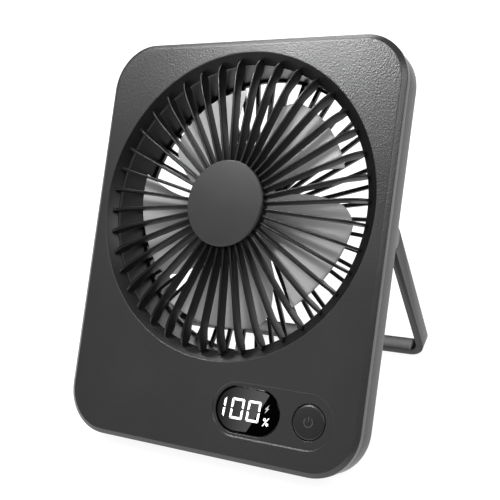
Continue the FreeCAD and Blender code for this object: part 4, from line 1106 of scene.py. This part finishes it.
@dataclass(frozen=True)
class Panel:
    """A soft light panel, placed in the fan's own axes in millimetres."""

    name: str
    place: tuple[float, float, float]
    target: tuple[float, float, float]
    width: float
    height: float
    watts: float

    def build(self) -> None:
        """Make the panel and aim it."""
        lamp = bpy.data.lights.new(self.name, "AREA")
        lamp.shape = "RECTANGLE"
        lamp.size = self.width * MM
        lamp.size_y = self.height * MM
        lamp.energy = self.watts
        item = bpy.data.objects.new(self.name, lamp)
        bpy.context.scene.collection.objects.link(item)
        item.location = AXES.point(*self.place)
        aim = (AXES.point(*self.target) - item.location).normalized()
        item.rotation_mode = "QUATERNION"
        item.rotation_quaternion = aim.to_track_quat("-Z", "Y")
        item.visible_camera = False


@dataclass(frozen=True)
class GlareCard:
    """A small lit card that the display window mirrors, bright along one slanting edge.

    The edge's middle and direction are on the plane of the card, in the fan's own axes.
    """

    middle: tuple[float, float, float] = (-281.5, -560.0, -120.4)
    lean_deg: float = 28.2
    reach: float = 70.0
    length: float = 110.0
    brightest: float = 2.4
    faintest: float = 0.25

    def build(self) -> None:
        """Make the card, seen only in reflections."""
        half = self.length / 2 * MM
        reach = self.reach * MM
        card = flat_piece("glare_card", [(0, -half, 0), (reach, -half, 0), (reach, half, 0), (0, half, 0)])
        lean = math.radians(self.lean_deg)
        away = AXES.direction(-math.cos(lean), 0.0, math.sin(lean))
        along = AXES.direction(math.sin(lean), 0.0, math.cos(lean))
        turn = Matrix([away, along, away.cross(along)]).transposed()
        card.matrix_world = Matrix.Translation(AXES.point(*self.middle)) @ turn.to_4x4()
        tree = new_tree("lit_card", card)
        place = add_node(tree, "TexCoord").outputs["Object"]
        fall = add_node(tree, "VectorMath", {"operation": "DOT_PRODUCT"}, in0=place, in1=(1.0, -0.45, 0.0))
        strength = add_node(tree, "MapRange", {"interpolation_type": "SMOOTHSTEP"},
                            Value=fall.outputs["Value"], From_Min=-12 * MM, From_Max=reach,
                            To_Min=self.brightest, To_Max=self.faintest)
        glow = add_node(tree, "Emission", Color=(1.0, 1.0, 1.0, 1.0), Strength=strength.outputs["Result"])
        add_node(tree, "OutputMaterial", Surface=glow.outputs["Emission"])
        card.visible_camera = False
        card.visible_diffuse = False
        card.visible_shadow = False


@dataclass
class Studio:
    """Floor, light and camera."""

    azimuth_deg: float = 30.31
    elevation_deg: float = -2.35
    roll_deg: float = 7.80
    distance: float = 380.0
    aim: tuple[float, float, float] = (16.29, 0.0, -22.42)
    lens_mm: float = 65.38
    shift_up: float = 0.1
    floor_half: float = 4.0
    floor_glow: float = 0.88
    sky: float = 0.55

    def build_floor(self) -> None:
        """Lay the floor: a painted board that glows, so that it stays white."""
        half = self.floor_half
        floor = flat_piece("floor", [(-half, -half, 0), (half, -half, 0), (half, half, 0), (-half, half, 0)])
        tree = new_tree("painted_board_white", floor)
        shader = add_node(tree, "BsdfPrincipled", Base_Color=linear("#989898"), Roughness=0.9,
                          Emission_Color=linear("#ffffff"), Emission_Strength=self.floor_glow)
        add_node(tree, "OutputMaterial", Surface=shader.outputs["BSDF"])

    def build_sky(self) -> None:
        """Fill the room with even light that glossy surfaces don't mirror."""
        world = bpy.data.worlds.new("studio")
        bpy.context.scene.world = world
        world.use_nodes = True
        background = world.node_tree.nodes["Background"]
        background.inputs["Color"].default_value = (1, 1, 1, 1)
        background.inputs["Strength"].default_value = self.sky
        world.cycles_visibility.glossy = False

    def build_camera(self) -> None:
        """Place the camera to the fan's right, turned a little about its line of sight."""
        azimuth, elevation, roll = (math.radians(angle) for angle in
                                    (self.azimuth_deg, self.elevation_deg, self.roll_deg))
        back = Vector((math.sin(azimuth) * math.cos(elevation), -math.cos(azimuth) * math.cos(elevation),
                       math.sin(elevation)))
        level = Vector((math.cos(azimuth), math.sin(azimuth), 0.0))
        rise = back.cross(level)
        right = level * math.cos(roll) + rise * math.sin(roll)
        up = rise * math.cos(roll) - level * math.sin(roll)
        spot = back * self.distance + Vector(self.aim)
        camera = bpy.data.cameras.new("camera")
        camera.lens = self.lens_mm
        camera.sensor_width = 36.0
        camera.shift_y = self.shift_up
        camera.clip_start = 0.01
        item = bpy.data.objects.new("camera", camera)
        bpy.context.scene.collection.objects.link(item)
        columns = [AXES.direction(*right), AXES.direction(*up), AXES.direction(*back)]
        turn = Matrix(columns).transposed()
        item.matrix_world = Matrix.Translation(AXES.point(*spot)) @ turn.to_4x4()
        bpy.context.scene.camera = item

    def build(self) -> None:
        """Build the studio."""
        self.build_floor()
        self.build_sky()
        for panel in PANELS:
            panel.build()
        GlareCard().build()
        self.build_camera()
        bpy.context.scene.view_settings.view_transform = "Standard"


PANELS = (
    Panel("key", (700.0, -900.0, 500.0), (0.0, 0.0, 0.0), 700.0, 500.0, 5.0),
    Panel("top", (-400.0, -700.0, 480.0), (20.0, 0.0, 80.0), 180.0, 150.0, 6.0),
    Panel("over", (-350.0, -150.0, 700.0), (0.0, 0.0, 85.0), 600.0, 160.0, 3.0),
)


def main() -> None:
    """Build the fan and its studio, and report each piece."""
    logging.basicConfig(level=logging.INFO, format="%(message)s")
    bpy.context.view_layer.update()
    Casing().build()
    FrontGrille().build()
    RearGrille().build()
    Impeller().build()
    Controls().build()
    Stand().build()
    dress_carried_over()
    Studio().build()


if __name__ == "__main__":
    main()
